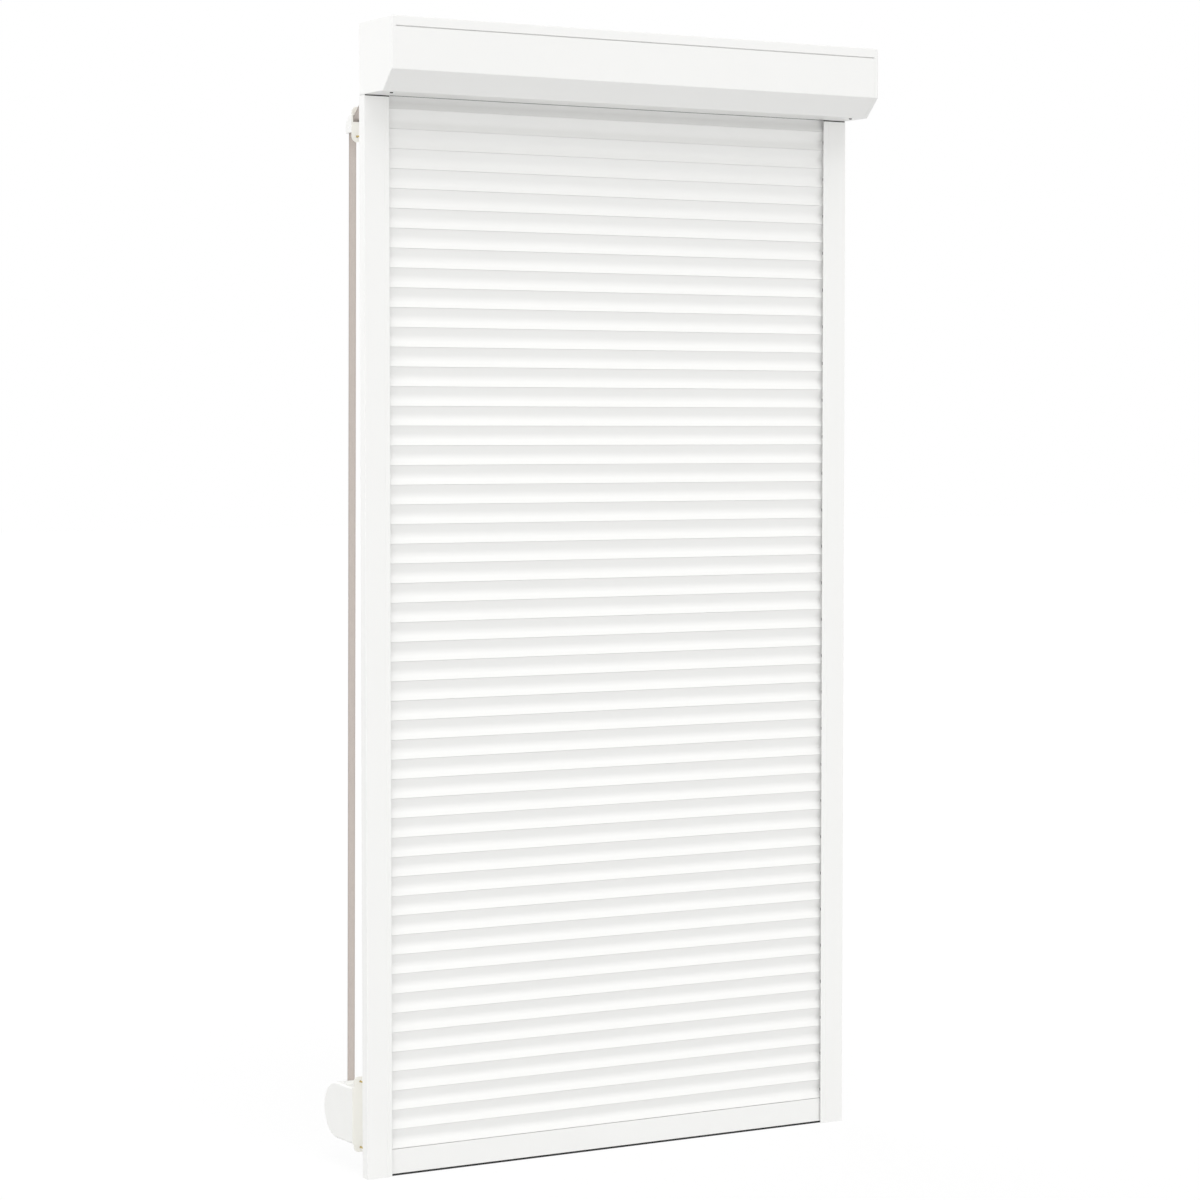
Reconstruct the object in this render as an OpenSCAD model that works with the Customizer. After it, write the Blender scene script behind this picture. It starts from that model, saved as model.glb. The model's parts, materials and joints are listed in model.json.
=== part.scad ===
// Exterior roller shutter with a bevelled front-mounted cassette, guide rails,
// a curtain of interlocking slats and a strap drive with guide and winder indoors.
// Origin at the centre of the cassette's back face, +Z up, -Y out of doors.

/* [Overall] */
// Width over the end caps and the guide rails
shutter_w = 1100; // [800:10:1400]
// Height from the sill to the top of the cassette
shutter_h = 2200; // [1600:10:2500]
// Depth of window frame between the shutter's back and the strap fittings indoors
wall_depth = 54; // [45:1:90]

/* [Cassette] */
// Depth of the cassette
box_d = 137; // [137:1:165]
// Height of the cassette
box_h = 137; // [137:1:165]
// Length of the bevel along the front and along the underside
box_bevel = 38; // [28:1:44]
// Sheet thickness of the covers
cover_t = 1.2; // [0.8:0.1:1.8]
// Outer bend radius of the covers
bend_r = 2.5; // [2.2:0.1:4]
// Height of the top cover's front lip
lip_h = 18.5; // [12:0.5:30]
// Depth of the tongue that hooks the front cover behind the lip
tongue_h = 8; // [5:0.5:11]
// Cheek thickness of an end cap
cap_t = 4; // [3:0.5:5]
// Depth of the rim that carries the covers inside an end cap
rim_d = 6; // [4:0.5:7]
// Wall thickness of that rim
rim_t = 2; // [1.5:0.1:3]
// Distance of a cover screw from the end of the shutter
screw_in = 28; // [20:0.5:30]
// Distance of a cover screw from the back of the cassette
screw_y = 80; // [70:1:90]
// Shank radius of a cover screw
screw_r = 1.5; // [1.2:0.1:2]

/* [Guide rails] */
// Width of a rail, seen from the front
rail_w = 53; // [50:0.5:60]
// Depth of a rail
rail_d = 22; // [21:0.5:28]
// Wall thickness of a rail
rail_t = 1.6; // [1.2:0.1:2]
// Shadow gap between a rail and its end cap
rail_gap = 2; // [1:0.5:4]
// Length of the end cap's plug inside a rail
plug_l = 40; // [20:1:60]
// Width of a pile strip's base
pile_w = 4; // [3:0.1:5]
// Width and depth of the two fine grooves on a rail's front
groove = 0.8; // [0.4:0.1:1]
// Distance of the first groove from the rail's inner edge
groove_in = 5; // [3:0.5:8]
// Distance between the two grooves
groove_pitch = 6; // [3:0.5:10]

/* [Curtain] */
// Height that one slat covers
slat_pitch = 37.5; // [36:0.5:42]
// Radius of the hollow front of a slat
cove_r = 38; // [34:1:50]
// Height of the deepest line of that hollow above the slat's nose
cove_mid = 20; // [18:0.5:21]
// Thickness of a slat between its front and its back
slat_t = 3.8; // [3.2:0.1:4.4]
// Skin thickness of a slat
skin_t = 0.5; // [0.4:0.1:1]
// Height of the dark line between two slats
joint_gap = 1.3; // [0.8:0.1:2]
// Outer radius of the socket along a slat's lower edge
socket_r = 3.1; // [2.9:0.1:3.3]
// Wall thickness of the socket
socket_t = 1; // [0.8:0.1:1.1]
// Distance of hook and socket behind the nose
hook_y = 5.2; // [5.1:0.05:5.5]
// Thickness of the hook's stem
stem_t = 1.4; // [1:0.1:1.6]
// Distance that a slat end clip stands out of its slat
clip_out = 1.5; // [1:0.1:1.8]
// Height of the bottom bar
bar_h = 49.5; // [40:0.5:70]
// Thickness of the bottom bar
bar_t = 9; // [8.6:0.1:9.4]
// Wall thickness of the bottom bar
bar_wall = 1.4; // [1:0.1:1.8]
// Height of the rubber seal under the bar
seal_h = 3; // [2:0.5:6]
// Width of the rubber seal
seal_w = 6; // [5:0.5:8]

/* [Shaft] */
// Distance of the shaft in front of the cassette's back
shaft_in = 70; // [68:0.5:74]
// Height of the shaft above the cassette's underside
shaft_up = 68; // [67:0.5:72]
// Width across flats of the octagonal shaft tube
shaft_af = 40; // [36:1:50]
// Wall thickness of the shaft tube
shaft_t = 1; // [0.6:0.1:1.6]
// Length of the octagonal spigots in the shaft tube
spigot_l = 45; // [30:1:60]
// Radius of the journals
journal_r = 6; // [5:0.5:7]
// Outer radius of the bearings
bearing_r = 14; // [13.5:0.5:16]
// Width of the bearings
bearing_w = 8; // [7:0.5:9]
// Radius of the bearing balls
ball_r = 2.1; // [1.8:0.1:2.2]
// Number of balls in a bearing
balls = 8; // [6:1:9]
// Number of hangers between the shaft and the top slat
hangers = 3; // [2:1:5]
// Width of a hanger
hanger_w = 30; // [20:1:50]
// Thickness of a hanger
hanger_t = 0.8; // [0.5:0.1:1.2]

/* [Strap] */
// Width of the strap
strap_w = 15; // [14:0.5:16]
// Thickness of the strap
strap_t = 1.2; // [1:0.1:1.4]
// Radius of the pulley's core
core_r = 40; // [36:0.5:41]
// Turns of strap on the pulley with the curtain down
pulley_turns = 7; // [4:1:7]
// Turns of strap on the winder's reel with the curtain down
reel_turns = 2; // [1:1:4]
// Gap between two turns of strap
turn_gap = 0.5; // [0.45:0.05:0.6]
// Thickness of the pulley's and the reel's flanges
flange_t = 1.5; // [1.2:0.1:1.8]
// Radius of the strap exit roller
exit_r = 4; // [3.5:0.1:4.2]
// Distance of the exit roller inside the cassette's back face
exit_in = 6; // [5.5:0.5:7]

/* [Strap guide] */
// Width of the guide plate
guide_w = 22; // [21.5:0.5:30]
// Distance between the two screw holes of the guide
guide_pitch = 45.5; // [45:0.5:60]
// Thickness of the guide plate
guide_t = 2.5; // [2:0.1:4]
// Distance of the guide's upper hole below the cassette
guide_drop = 27; // [25:0.5:40]
// Radius of the guide roller
roller_r = 7; // [6:0.5:7.5]
// Distance of the guide roller behind the mounting plane
roller_out = 11; // [10.5:0.5:14]
// Depth of the hood behind the plate
hood_d = 24; // [24:0.5:30]
// Wall thickness of the hood
hood_t = 1.6; // [1.2:0.1:1.8]
// Radius of the screw holes in guide and winder
hole_r = 2.2; // [1.8:0.1:2.6]

/* [Strap winder] */
// Distance between the two screw holes of the winder
winder_pitch = 128; // [128:1:150]
// Height of the winder's lower hole above the sill
winder_up = 47.3; // [40:0.1:400]
// Width of the winder's screw tabs
tab_w = 27; // [24:1:32]
// Distance from a screw hole to the end of its tab
tab_end = 9.3; // [8:0.1:12]
// Thickness of the winder's mounting plate
plate_t = 3; // [2:0.1:4]
// Width of the winder's housing
housing_w = 33; // [30:0.5:40]
// Radius of the housing's round back
housing_r = 55; // [54:0.5:58]
// Depth of the housing behind the mounting plane
housing_d = 128; // [124:1:140]
// Wall thickness of the housing
housing_t = 2.2; // [1.8:0.1:2.8]
// Radius of the housing's rounded side edges
housing_round = 4; // [2.5:0.5:5]
// Radius of the reel's core
reel_r = 26; // [24:0.5:28]
// Radius of the reel's flanges
reel_flange_r = 50; // [46:0.5:51]
// Radius of the winder's axle
axle_r = 4; // [3:0.5:5]
// Turns of the winder's flat spiral spring
spring_turns = 7; // [4:1:8]
// Thickness of that spring
spring_t = 0.5; // [0.3:0.1:0.6]

/* [Hidden] */
$fn = 64;
// Clearance of parts that turn or slide past each other
run_gap = 0.3;
// Clearance of parts that are fitted together
fit_gap = 0.2;
// Radial clearance of a pin in its hole
pin_gap = 0.05;
// Overshoot of a cutting shape
cut = 1;
// Smallest bend radius inside a sheet
least_r = 0.3;

box_top = box_h / 2;
box_bottom = -box_h / 2;
sill = box_top - shutter_h;
half_w = shutter_w / 2;
rail_top = box_bottom - rail_gap;
cheek_in = half_w - cap_t;
screw_head = 1.6;
screw_l = 9;

shaft_y = -shaft_in;
shaft_z = box_bottom + shaft_up;
bearing_gap = 1.25;
journal_l = bearing_w + bearing_gap;
boss_t = 4;

side_gap = 0.75;
pulley_w = strap_w + 2 * side_gap + 2 * flange_t;
strap_x = -(cheek_in - journal_l - pulley_w / 2);
slat_end = cheek_in - journal_l - pulley_w - bearing_gap - clip_out;

cove_depth = cove_r - sqrt(cove_r * cove_r - cove_mid * cove_mid);
slat_depth = cove_depth + slat_t;
nose_y = -(rail_d + slat_depth) / 2;
socket_in = socket_r - socket_t;
bead_gap = 0.4;
bead_r = socket_in - bead_gap;
slot_gap = 0.45;
slot_w = stem_t + 2 * slot_gap;
bead_drop = 0.15;
bar_bottom = sill + seal_h;
bar_top = bar_bottom + bar_h;
head_in = 20;
slats_n = ceil((box_bottom + head_in - bar_top) / slat_pitch);
curtain_top = bar_top + slats_n * slat_pitch;

end_gap = 4;
channel_d = slat_end - (half_w - rail_w) + clip_out + end_gap;
rib = 1;
rib_gap = 0.1;
pile_u = rib + rib_gap;
pile_base = 1;
rib_at = pile_u + pile_w + rib_gap;

turn = strap_t + turn_gap;
coil_r = core_r + run_gap + pulley_turns * turn + strap_t;
flange_rise = 2.5;
flange_r = coil_r + flange_rise;
exit_bend = exit_r + run_gap + strap_t / 2;
exit_c = [-exit_in, shaft_z - coil_r - run_gap - strap_t / 2 - exit_bend];
bush_w = pulley_w;
bush_t = 1.5;
bush_lip = 1.2;
bush_room = 2.8;
bush_d = 2 * exit_in;
bush_low = exit_c[1] - exit_r - 2 * run_gap - bush_lip;
bush_high = exit_c[1] + exit_bend + bush_room + bush_lip;
pin_r = 1.5;

guide_high = box_bottom - guide_drop;
guide_low = guide_high - guide_pitch;
slot_high = guide_high - 6;
slot_h = 12;
slot_low = slot_high - slot_h;
hood_low = guide_low + 7.5;
roller_drop = 22;
guide_bend = roller_r + run_gap + strap_t / 2;
guide_c = [wall_depth + roller_out, slot_high - roller_drop];
// Countersink of the screw holes
sink_r = 1.7 * hole_r;

winder_low = sill + winder_up;
winder_high = winder_low + winder_pitch;
housing_drop = 2.8;
housing_z = (winder_low + winder_high) / 2 - housing_drop;
reel_c = [wall_depth + housing_d - housing_r, housing_z];
reel_coil_r = reel_r + run_gap + reel_turns * turn + strap_t;
reel_bend = reel_coil_r + run_gap + strap_t / 2;
inlet_h = 8;
inlet_w = 24;
inlet_d = 11;
inlet_slot = 6;

white = "white";
cream = "ivory";
steel = "silver";
black = [0.15, 0.15, 0.15];
grey = [0.72, 0.71, 0.68];

// Unit vector at an angle, and the unit vector from one point to the next
function aim(a) = [cos(a), sin(a)];
function way(p, q) = (q - p) / norm(q - p);

// Corner of a counterclockwise outline, moved inwards by a distance
function corner_in(a, b, c, by) =
    let (u = way(a, b), v = way(b, c), n = [-u[1], u[0]], m = [-v[1], v[0]])
    b + by * (n + m) / (1 + n * m);

// Whole counterclockwise outline moved inwards
function inset(p, by) =
    [for (i = [0:len(p) - 1])
        corner_in(p[(i + len(p) - 1) % len(p)], p[i], p[(i + 1) % len(p)], by)];

// Counterclockwise outline with its corners rounded
function rounded(p, r, steps = 6) =
    [for (i = [0:len(p) - 1])
        let (a = p[(i + len(p) - 1) % len(p)], b = p[i], c = p[(i + 1) % len(p)],
            u = way(a, b), v = way(b, c), mid = corner_in(a, b, c, r),
            start = atan2(-u[0], u[1]), sweep = atan2(u[0] * v[1] - u[1] * v[0], u * v))
        for (k = [0:steps]) mid + r * aim(start + sweep * k / steps)];

// Rectangle as a counterclockwise outline
function box(low, high) = [low, [high[0], low[1]], high, [low[0], high[1]]];

// Strip of even thickness that spirals inwards from an angle, one way or the other
function spiral(r, turns, pitch, thick, start, hand, steps = 36) =
    let (n = turns * steps,
        line = function (in)
            [for (k = [0:n]) (r - in - pitch * k / steps) * aim(start + hand * 360 * k / steps)],
        back = line(thick))
    concat(line(0), [for (k = [n:-1:0]) back[k]]);

// Least distance between one turn of such a strip and the next, measured on its points
function least_gap(r, turns, pitch, thick, steps = 36) =
    let (strip = spiral(r, turns, pitch, thick, 0, 1, steps), n = turns * steps)
    min([for (k = [0:n - steps]) norm(strip[2 * n + 1 - k] - strip[k + steps])]);

// Angle of the normal of a belt between two rollers, outside the first one:
// side is 1 when it runs on the same side of both, -1 when it crosses over
function belt_angle(c1, r1, c2, r2, side) =
    let (d = c2 - c1)
    atan2(d[1], d[0]) + acos((r1 - side * r2) / norm(d));

// Shape in the YZ plane drawn out along X from one place to another
module along_x(from, to) {
    translate([from, 0, 0])
        rotate([90, 0, 90])
            linear_extrude(to - from)
                children();
}

// Profile of radius and length turned about a line along X
module turned_x(centre, from) {
    translate([from, centre[0], centre[1]])
        rotate([0, 90, 0])
            rotate_extrude()
                children();
}

module rod_x(centre, r, from, to) {
    translate([from, centre[0], centre[1]])
        rotate([0, 90, 0])
            cylinder(r = r, h = to - from);
}

module pair_x() {
    children();
    mirror([1, 0, 0])
        children();
}

shaft_c = [shaft_y, shaft_z];

// Cassette outline from the back's lower edge, counterclockwise
function box_outline() = [
    [0, box_bottom], [0, box_top], [-box_d, box_top],
    [-box_d, box_bottom + box_bevel], [box_bevel - box_d, box_bottom]];

module box_2d(by) {
    polygon(rounded(inset(box_outline(), by), max(bend_r - by, least_r)));
}

module box_wall_2d(by, thick) {
    difference() {
        box_2d(by);
        box_2d(by + thick);
    }
}

// Back wall, top and front lip, bent from one sheet, with the opening for the strap
module top_cover() {
    color(white)
        difference() {
            along_x(-cheek_in, cheek_in)
                difference() {
                    box_wall_2d(0, cover_t);
                    translate([-box_d - cut, box_bottom - cut])
                        square([box_d / 2 + cut, box_h - lip_h + cut]);
                    translate([-box_d - cut, box_bottom - cut])
                        square([box_d + cut - cover_t, box_h / 2]);
                }
            along_x(strap_x - bush_w / 2 - fit_gap, strap_x + bush_w / 2 + fit_gap)
                polygon(box([-bush_d, bush_low - fit_gap], [cut, bush_high + fit_gap]));
        }
}

// Front, bevel and underside, with a tongue behind the lip and an upturned rear edge
module front_cover() {
    seam = box_top - lip_h - fit_gap;
    rear = -rail_d - rail_gap;
    rim_in = cheek_in - rim_d - fit_gap;
    color(white)
        difference() {
            union() {
                along_x(-cheek_in, cheek_in)
                    intersection() {
                        box_wall_2d(0, cover_t);
                        polygon(box([-box_d - cut, box_bottom - cut], [rear, seam]));
                    }
                along_x(-rim_in, rim_in)
                    front_flanges_2d(seam, rear);
            }
            pair_x()
                translate([half_w - screw_in, -screw_y, box_bottom - cut])
                    cylinder(r = screw_r + fit_gap, h = cover_t + 2 * cut);
        }
}

// Tongue that hooks behind the lip, and the upturned rear edge, both clear of the caps
module front_flanges_2d(seam, rear) {
    root = seam - tongue_h;
    intersection() {
        box_wall_2d(cover_t + fit_gap, cover_t);
        polygon(box([-box_d, root], [-box_d / 2, seam + tongue_h]));
    }
    polygon(box([-box_d + cover_t / 2, root], [-box_d + cover_t + 2 * fit_gap, root + tongue_h / 2]));
    polygon(box([rear - cover_t, box_bottom], [rear, box_bottom + tongue_h]));
}

// Screws through the underside into the lugs of the end caps
module cover_screws() {
    top = screw_head + screw_l;
    color(steel)
        pair_x()
            translate([half_w - screw_in, -screw_y, box_bottom - screw_head])
                rotate_extrude()
                    polygon([[0, 0], [1.6 * screw_r, 0], [2.2 * screw_r, screw_head], [screw_r, screw_head],
                        [screw_r, top], [0, top]]);
}

// Cheek with the rim for the covers, bearing boss, screw lug and rail plug
module end_cap() {
    lug_w = 6 * screw_r;
    lug_h = 6.5;
    lug_low = box_bottom + cover_t + fit_gap;
    plug = rail_chamber();
    plug_size = plug[1] - plug[0];
    color(white)
        difference() {
            union() {
                along_x(cheek_in, half_w)
                    box_2d(0);
                along_x(cheek_in - rim_d, cheek_in + cut)
                    box_wall_2d(cover_t + fit_gap, rim_t);
                rod_x(shaft_c, bearing_r + boss_t, cheek_in - bearing_w, cheek_in + cut);
                translate([half_w - screw_in - lug_w / 2, -screw_y - lug_w / 2, lug_low])
                    cube([screw_in + lug_w / 2 - cap_t + cut, lug_w, lug_h]);
                translate([plug[0][0] + fit_gap, plug[0][1] + fit_gap, rail_top - plug_l])
                    cube([plug_size[0] - 2 * fit_gap, plug_size[1] - 2 * fit_gap, plug_l + cut]);
                translate([plug[0][0], plug[0][1], rail_top])
                    cube([plug_size[0], plug_size[1], rail_gap + cover_t]);
            }
            rod_x(shaft_c, bearing_r + pin_gap, cheek_in - bearing_w - cut, cheek_in);
            translate([half_w - screw_in, -screw_y, box_bottom])
                cylinder(r = screw_r + pin_gap, h = screw_l + cut);
            plug_bore(plug);
        }
}

// Hollow of the rail plug, open at its lower end
module plug_bore(plug) {
    wall = 2.5;
    translate([plug[0][0] + wall, plug[0][1] + wall, rail_top - plug_l - cut])
        cube([plug[1][0] - plug[0][0] - 2 * wall, plug[1][1] - plug[0][1] - 2 * wall, plug_l]);
}

module end_cap_right() {
    end_cap();
}

module end_cap_left() {
    mirror([1, 0, 0])
        end_cap();
}

// Low and high corner of the closed outer chamber of the right rail
function rail_chamber() =
    [[half_w - rail_w + channel_d + rail_t, rail_t - rail_d], [half_w - rail_t, -rail_t]];

// Extruded rail: open slat channel with ribs that hold the piles, closed outer chamber
module rail_2d() {
    inner = half_w - rail_w;
    chamber = rail_chamber();
    difference() {
        polygon(rounded(box([inner, -rail_d], [half_w, 0]), rail_t / 2));
        polygon(box(chamber[0], chamber[1]));
        polygon(box([inner - cut, rail_t - rail_d], [inner + channel_d, -rail_t]));
        for (at = [groove_in, groove_in + groove_pitch])
            translate([inner + at, -rail_d])
                circle(r = groove / 2, $fn = 24);
    }
    for (at = [0, rib_at], wall = [rail_t - rail_d, -rail_t - rib])
        translate([inner + at, wall])
            square([rib, rib]);
}

module guide_rail() {
    color(white)
        translate([0, 0, sill])
            linear_extrude(rail_top - sill)
                rail_2d();
}

module guide_rail_right() {
    guide_rail();
}

module guide_rail_left() {
    mirror([1, 0, 0])
        guide_rail();
}

// Strips of pile at the mouth of each rail, in front of and behind the curtain
module rail_piles() {
    low = half_w - rail_w + pile_u;
    front = rail_t - rail_d;
    color(black)
        translate([0, 0, sill + cut])
            linear_extrude(rail_top - sill - 2 * cut)
                pair_x() {
                    polygon(box([low, front], [low + pile_w, front + pile_base]));
                    polygon(box([low + rib, front], [low + pile_w - rib, nose_y - run_gap]));
                    polygon(box([low, -rail_t - pile_base], [low + pile_w, -rail_t]));
                    polygon(box([low + rib, nose_y + slat_depth + run_gap], [low + pile_w - rib, -rail_t]));
                }
}

// Plastic jaws that lead the curtain from the roll into the rails
module inlet_funnels() {
    rise = 10;
    dip = 12;
    tip = 1;
    web = 1.2;
    low = rail_top - dip;
    wall_front = rail_t - rail_d;
    outer_front = wall_front + fit_gap;
    outer_back = -rail_t - fit_gap;
    front = nose_y - 2 * run_gap;
    back = nose_y + slat_depth + 2 * run_gap;
    start = half_w - rail_w + rib_at + rib + fit_gap;
    floor = half_w - rail_w + channel_d - fit_gap;
    color(black)
        pair_x() {
            along_x(start, slat_end) {
                polygon([[outer_front, low], [front, low], [front, rail_top],
                    [wall_front + tip, rail_top + rise], [outer_front, rail_top + rise]]);
                polygon([[back, low], [outer_back, low], [outer_back, rail_top + rise],
                    [-rail_t - tip, rail_top + rise], [back, rail_top]]);
            }
            along_x(slat_end - fit_gap, floor) {
                polygon(box([outer_front, low], [front, rail_top]));
                polygon(box([back, low], [outer_back, rail_top]));
            }
            along_x(floor - web, floor)
                polygon(box([outer_front, low], [outer_back, rail_top]));
        }
}

// Ball bearings: the groove radius clears the balls by the gap of a pin
ball_c = (bearing_r + journal_r) / 2;
ring_t = (bearing_r - journal_r) / 2 - 0.65 * ball_r;

module ring_2d(low, high) {
    difference() {
        translate([low, 0])
            square([high - low, bearing_w]);
        translate([ball_c, bearing_w / 2])
            circle(r = ball_r + pin_gap);
    }
}

module bearing_outer_rings() {
    color(steel)
        pair_x()
            turned_x(shaft_c, cheek_in - bearing_w)
                ring_2d(bearing_r - ring_t, bearing_r);
}

module bearing_inner_rings() {
    color(steel)
        pair_x()
            turned_x(shaft_c, cheek_in - bearing_w)
                ring_2d(journal_r + pin_gap, journal_r + ring_t);
}

module bearing_balls() {
    color(steel)
        pair_x()
            for (k = [0:balls - 1])
                translate([cheek_in - bearing_w / 2, shaft_y, shaft_z])
                    rotate([360 * k / balls, 0, 0])
                        translate([0, 0, ball_c])
                            sphere(r = ball_r);
}

// Octagon with flats level, given its width across flats
module octagon_2d(af) {
    rotate(22.5)
        circle(r = af / 2 / cos(22.5), $fn = 8);
}

collar_l = 2.5;
tube_left = strap_x + pulley_w / 2 + cut;
tube_right = cheek_in - journal_l - collar_l - fit_gap - run_gap;
spigot_af = shaft_af - 2 * shaft_t - 2 * fit_gap;

module shaft_tube() {
    color(steel)
        along_x(tube_left, tube_right)
            translate(shaft_c)
                difference() {
                    octagon_2d(shaft_af);
                    octagon_2d(shaft_af - 2 * shaft_t);
                }
}

// Octagonal plug with a collar and the journal of the right end
module shaft_end_plug() {
    color(black) {
        along_x(tube_right - spigot_l, tube_right + cut)
            translate(shaft_c)
                octagon_2d(spigot_af);
        rod_x(shaft_c, shaft_af / 2, tube_right, tube_right + collar_l);
        rod_x(shaft_c, journal_r, tube_right, cheek_in - fit_gap);
    }
}

// Strap pulley: core, two flanges with lightening holes, spigot and journal
module strap_pulley() {
    left = strap_x - pulley_w / 2;
    right = left + pulley_w;
    hole_c = (shaft_af / 2 + core_r) / 2;
    light_r = (core_r - shaft_af / 2) / 3;
    color(black)
        difference() {
            union() {
                turned_x(shaft_c, left)
                    polygon([[0, 0], [flange_r, 0], [flange_r, flange_t], [core_r, flange_t],
                        [core_r, pulley_w - flange_t], [flange_r, pulley_w - flange_t],
                        [flange_r, pulley_w], [0, pulley_w]]);
                along_x(right - cut, tube_left + spigot_l)
                    translate(shaft_c)
                        octagon_2d(spigot_af);
                rod_x(shaft_c, shaft_af / 2, right - cut, tube_left);
                rod_x(shaft_c, journal_r, fit_gap - cheek_in, left + cut);
            }
            for (k = [0:5])
                rod_x(shaft_c + hole_c * aim(60 * k), light_r, left - cut, right + cut);
        }
}

// Strap wound on the pulley, its outer end leaving below towards the back
module pulley_strap_coil() {
    color(grey)
        along_x(strap_x - strap_w / 2, strap_x + strap_w / 2)
            translate(shaft_c)
                polygon(spiral(coil_r, pulley_turns, turn, strap_t, -90, -1));
}

// Strap wound on the winder's reel, its outer end at the front
module reel_strap_coil() {
    color(grey)
        along_x(strap_x - strap_w / 2, strap_x + strap_w / 2)
            translate(reel_c)
                polygon(spiral(reel_coil_r, reel_turns, turn, strap_t, 180, 1));
}

echo(least_gap_on_pulley = least_gap(coil_r, pulley_turns, turn, strap_t));
echo(least_gap_on_reel = least_gap(reel_coil_r, reel_turns, turn, strap_t));

// Strap from the pulley over the exit roller, through the wall, over the guide roller
// and down to the reel: one edge at a distance outside the middle of the strap
function strap_edge(out, steps = 10) =
    let (first = belt_angle(exit_c, exit_bend, guide_c, guide_bend, 1),
        last = belt_angle(guide_c, guide_bend, reel_c, reel_bend, -1))
    concat(
        [[shaft_y, exit_c[1] + exit_bend + out]],
        [for (k = [0:steps]) exit_c + (exit_bend + out) * aim(90 + (first - 90) * k / steps)],
        [for (k = [0:steps]) guide_c + (guide_bend + out) * aim(first + (last - first) * k / steps)],
        [reel_c - (reel_bend - out) * aim(last)]);

module strap_run() {
    inner = strap_edge(-strap_t / 2);
    color(grey)
        along_x(strap_x - strap_w / 2, strap_x + strap_w / 2)
            polygon(concat(strap_edge(strap_t / 2), [for (k = [len(inner) - 1:-1:0]) inner[k]]));
}

// Frame around the exit roller, flush with the cassette's back
module strap_exit_bush() {
    color(black)
        difference() {
            along_x(strap_x - bush_w / 2, strap_x + bush_w / 2)
                polygon(box([-bush_d, bush_low], [0, bush_high]));
            along_x(strap_x - bush_w / 2 + bush_t, strap_x + bush_w / 2 - bush_t)
                polygon(box([-bush_d - cut, bush_low + bush_lip], [cut, bush_high - bush_lip]));
            rod_x(exit_c, pin_r + pin_gap, strap_x - bush_w, strap_x + bush_w);
        }
}

// Roller with a bore for its pin
module roller(centre, r, length) {
    turned_x(centre, strap_x - length / 2)
        translate([pin_r + pin_gap, 0])
            square([r - pin_r - pin_gap, length]);
}

module strap_exit_roller() {
    color(white)
        roller(exit_c, exit_r, bush_w - 2 * bush_t - 2 * run_gap);
}

module strap_exit_pin() {
    color(steel)
        rod_x(exit_c, pin_r, strap_x - bush_w / 2, strap_x + bush_w / 2);
}

// Countersunk screw hole along Y, its wide end indoors
module screw_hole(height, thick) {
    translate([strap_x, wall_depth - cut, height])
        rotate([-90, 0, 0]) {
            cylinder(r = hole_r, h = thick + 2 * cut);
            translate([0, 0, cut + thick - (sink_r - hole_r)])
                cylinder(r1 = hole_r, r2 = sink_r, h = sink_r - hole_r);
            translate([0, 0, cut + thick])
                cylinder(r = sink_r, h = cut);
        }
}

// Outline in the XZ plane drawn out indoors from the mounting plane
module plate_y(thick) {
    translate([0, wall_depth + thick, 0])
        rotate([90, 0, 0])
            linear_extrude(thick)
                children();
}

module guide_plate() {
    color(cream)
        difference() {
            plate_y(guide_t)
                difference() {
                    union() {
                        for (z = [guide_low, guide_high])
                            translate([strap_x, z])
                                circle(r = guide_w / 2);
                        translate([strap_x - guide_w / 2, guide_low])
                            square([guide_w, guide_pitch]);
                    }
                    translate([strap_x - strap_w / 2 - side_gap, slot_low])
                        square([strap_w + 2 * side_gap, slot_high - slot_low]);
                }
            screw_hole(guide_low, guide_t);
            screw_hole(guide_high, guide_t);
        }
}

// Hood outline in the YZ plane, moved inwards for the inside of its wall
module hood_2d(by) {
    corner_r = 7;
    slope = 14;
    past = 2 * corner_r;
    back = wall_depth + hood_d + guide_t;
    front = wall_depth - past;
    top = slot_high + hood_t;
    points = [[front, hood_low - past], [back, hood_low - past], [back, slot_high - slope],
        [back - slope, top], [front, top]];
    polygon(rounded(inset(points, by), corner_r));
}

// Moulded hood over the guide roller, open below, with cheeks that hold the pin
module guide_hood() {
    color(white)
        difference() {
            intersection() {
                along_x(strap_x - guide_w / 2, strap_x + guide_w / 2)
                    hood_2d(0);
                translate([strap_x - guide_w, wall_depth + guide_t, hood_low])
                    cube([2 * guide_w, 2 * hood_d, guide_pitch]);
            }
            along_x(strap_x - guide_w / 2 + hood_t, strap_x + guide_w / 2 - hood_t)
                hood_2d(hood_t);
            rod_x(guide_c, pin_r + pin_gap, strap_x - guide_w, strap_x + guide_w);
        }
}

module guide_roller() {
    color(white)
        roller(guide_c, roller_r, guide_w - 2 * hood_t - 2 * run_gap);
}

module guide_roller_pin() {
    color(steel)
        rod_x(guide_c, pin_r, strap_x - guide_w / 2, strap_x + guide_w / 2);
}

// Mounting plate with a screw tab above and below the housing
module winder_plate() {
    low = [strap_x - tab_w / 2, winder_low - tab_end];
    high = [strap_x + tab_w / 2, winder_high + tab_end];
    color(cream)
        difference() {
            plate_y(plate_t) {
                polygon(rounded(box(low, high), tab_end));
                translate([strap_x - housing_w / 2, housing_z - housing_r])
                    square([housing_w, 2 * housing_r]);
            }
            screw_hole(winder_low, plate_t);
            screw_hole(winder_high, plate_t);
        }
}

// Half of the housing's cross-section from its axis outwards, moved inwards by a wall
module housing_half_2d(by) {
    r = housing_r - by;
    x = housing_w / 2 - by;
    intersection() {
        polygon(rounded(box([-r, -x], [r, x]), housing_round - by / 2));
        square([r, x]);
    }
}

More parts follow.
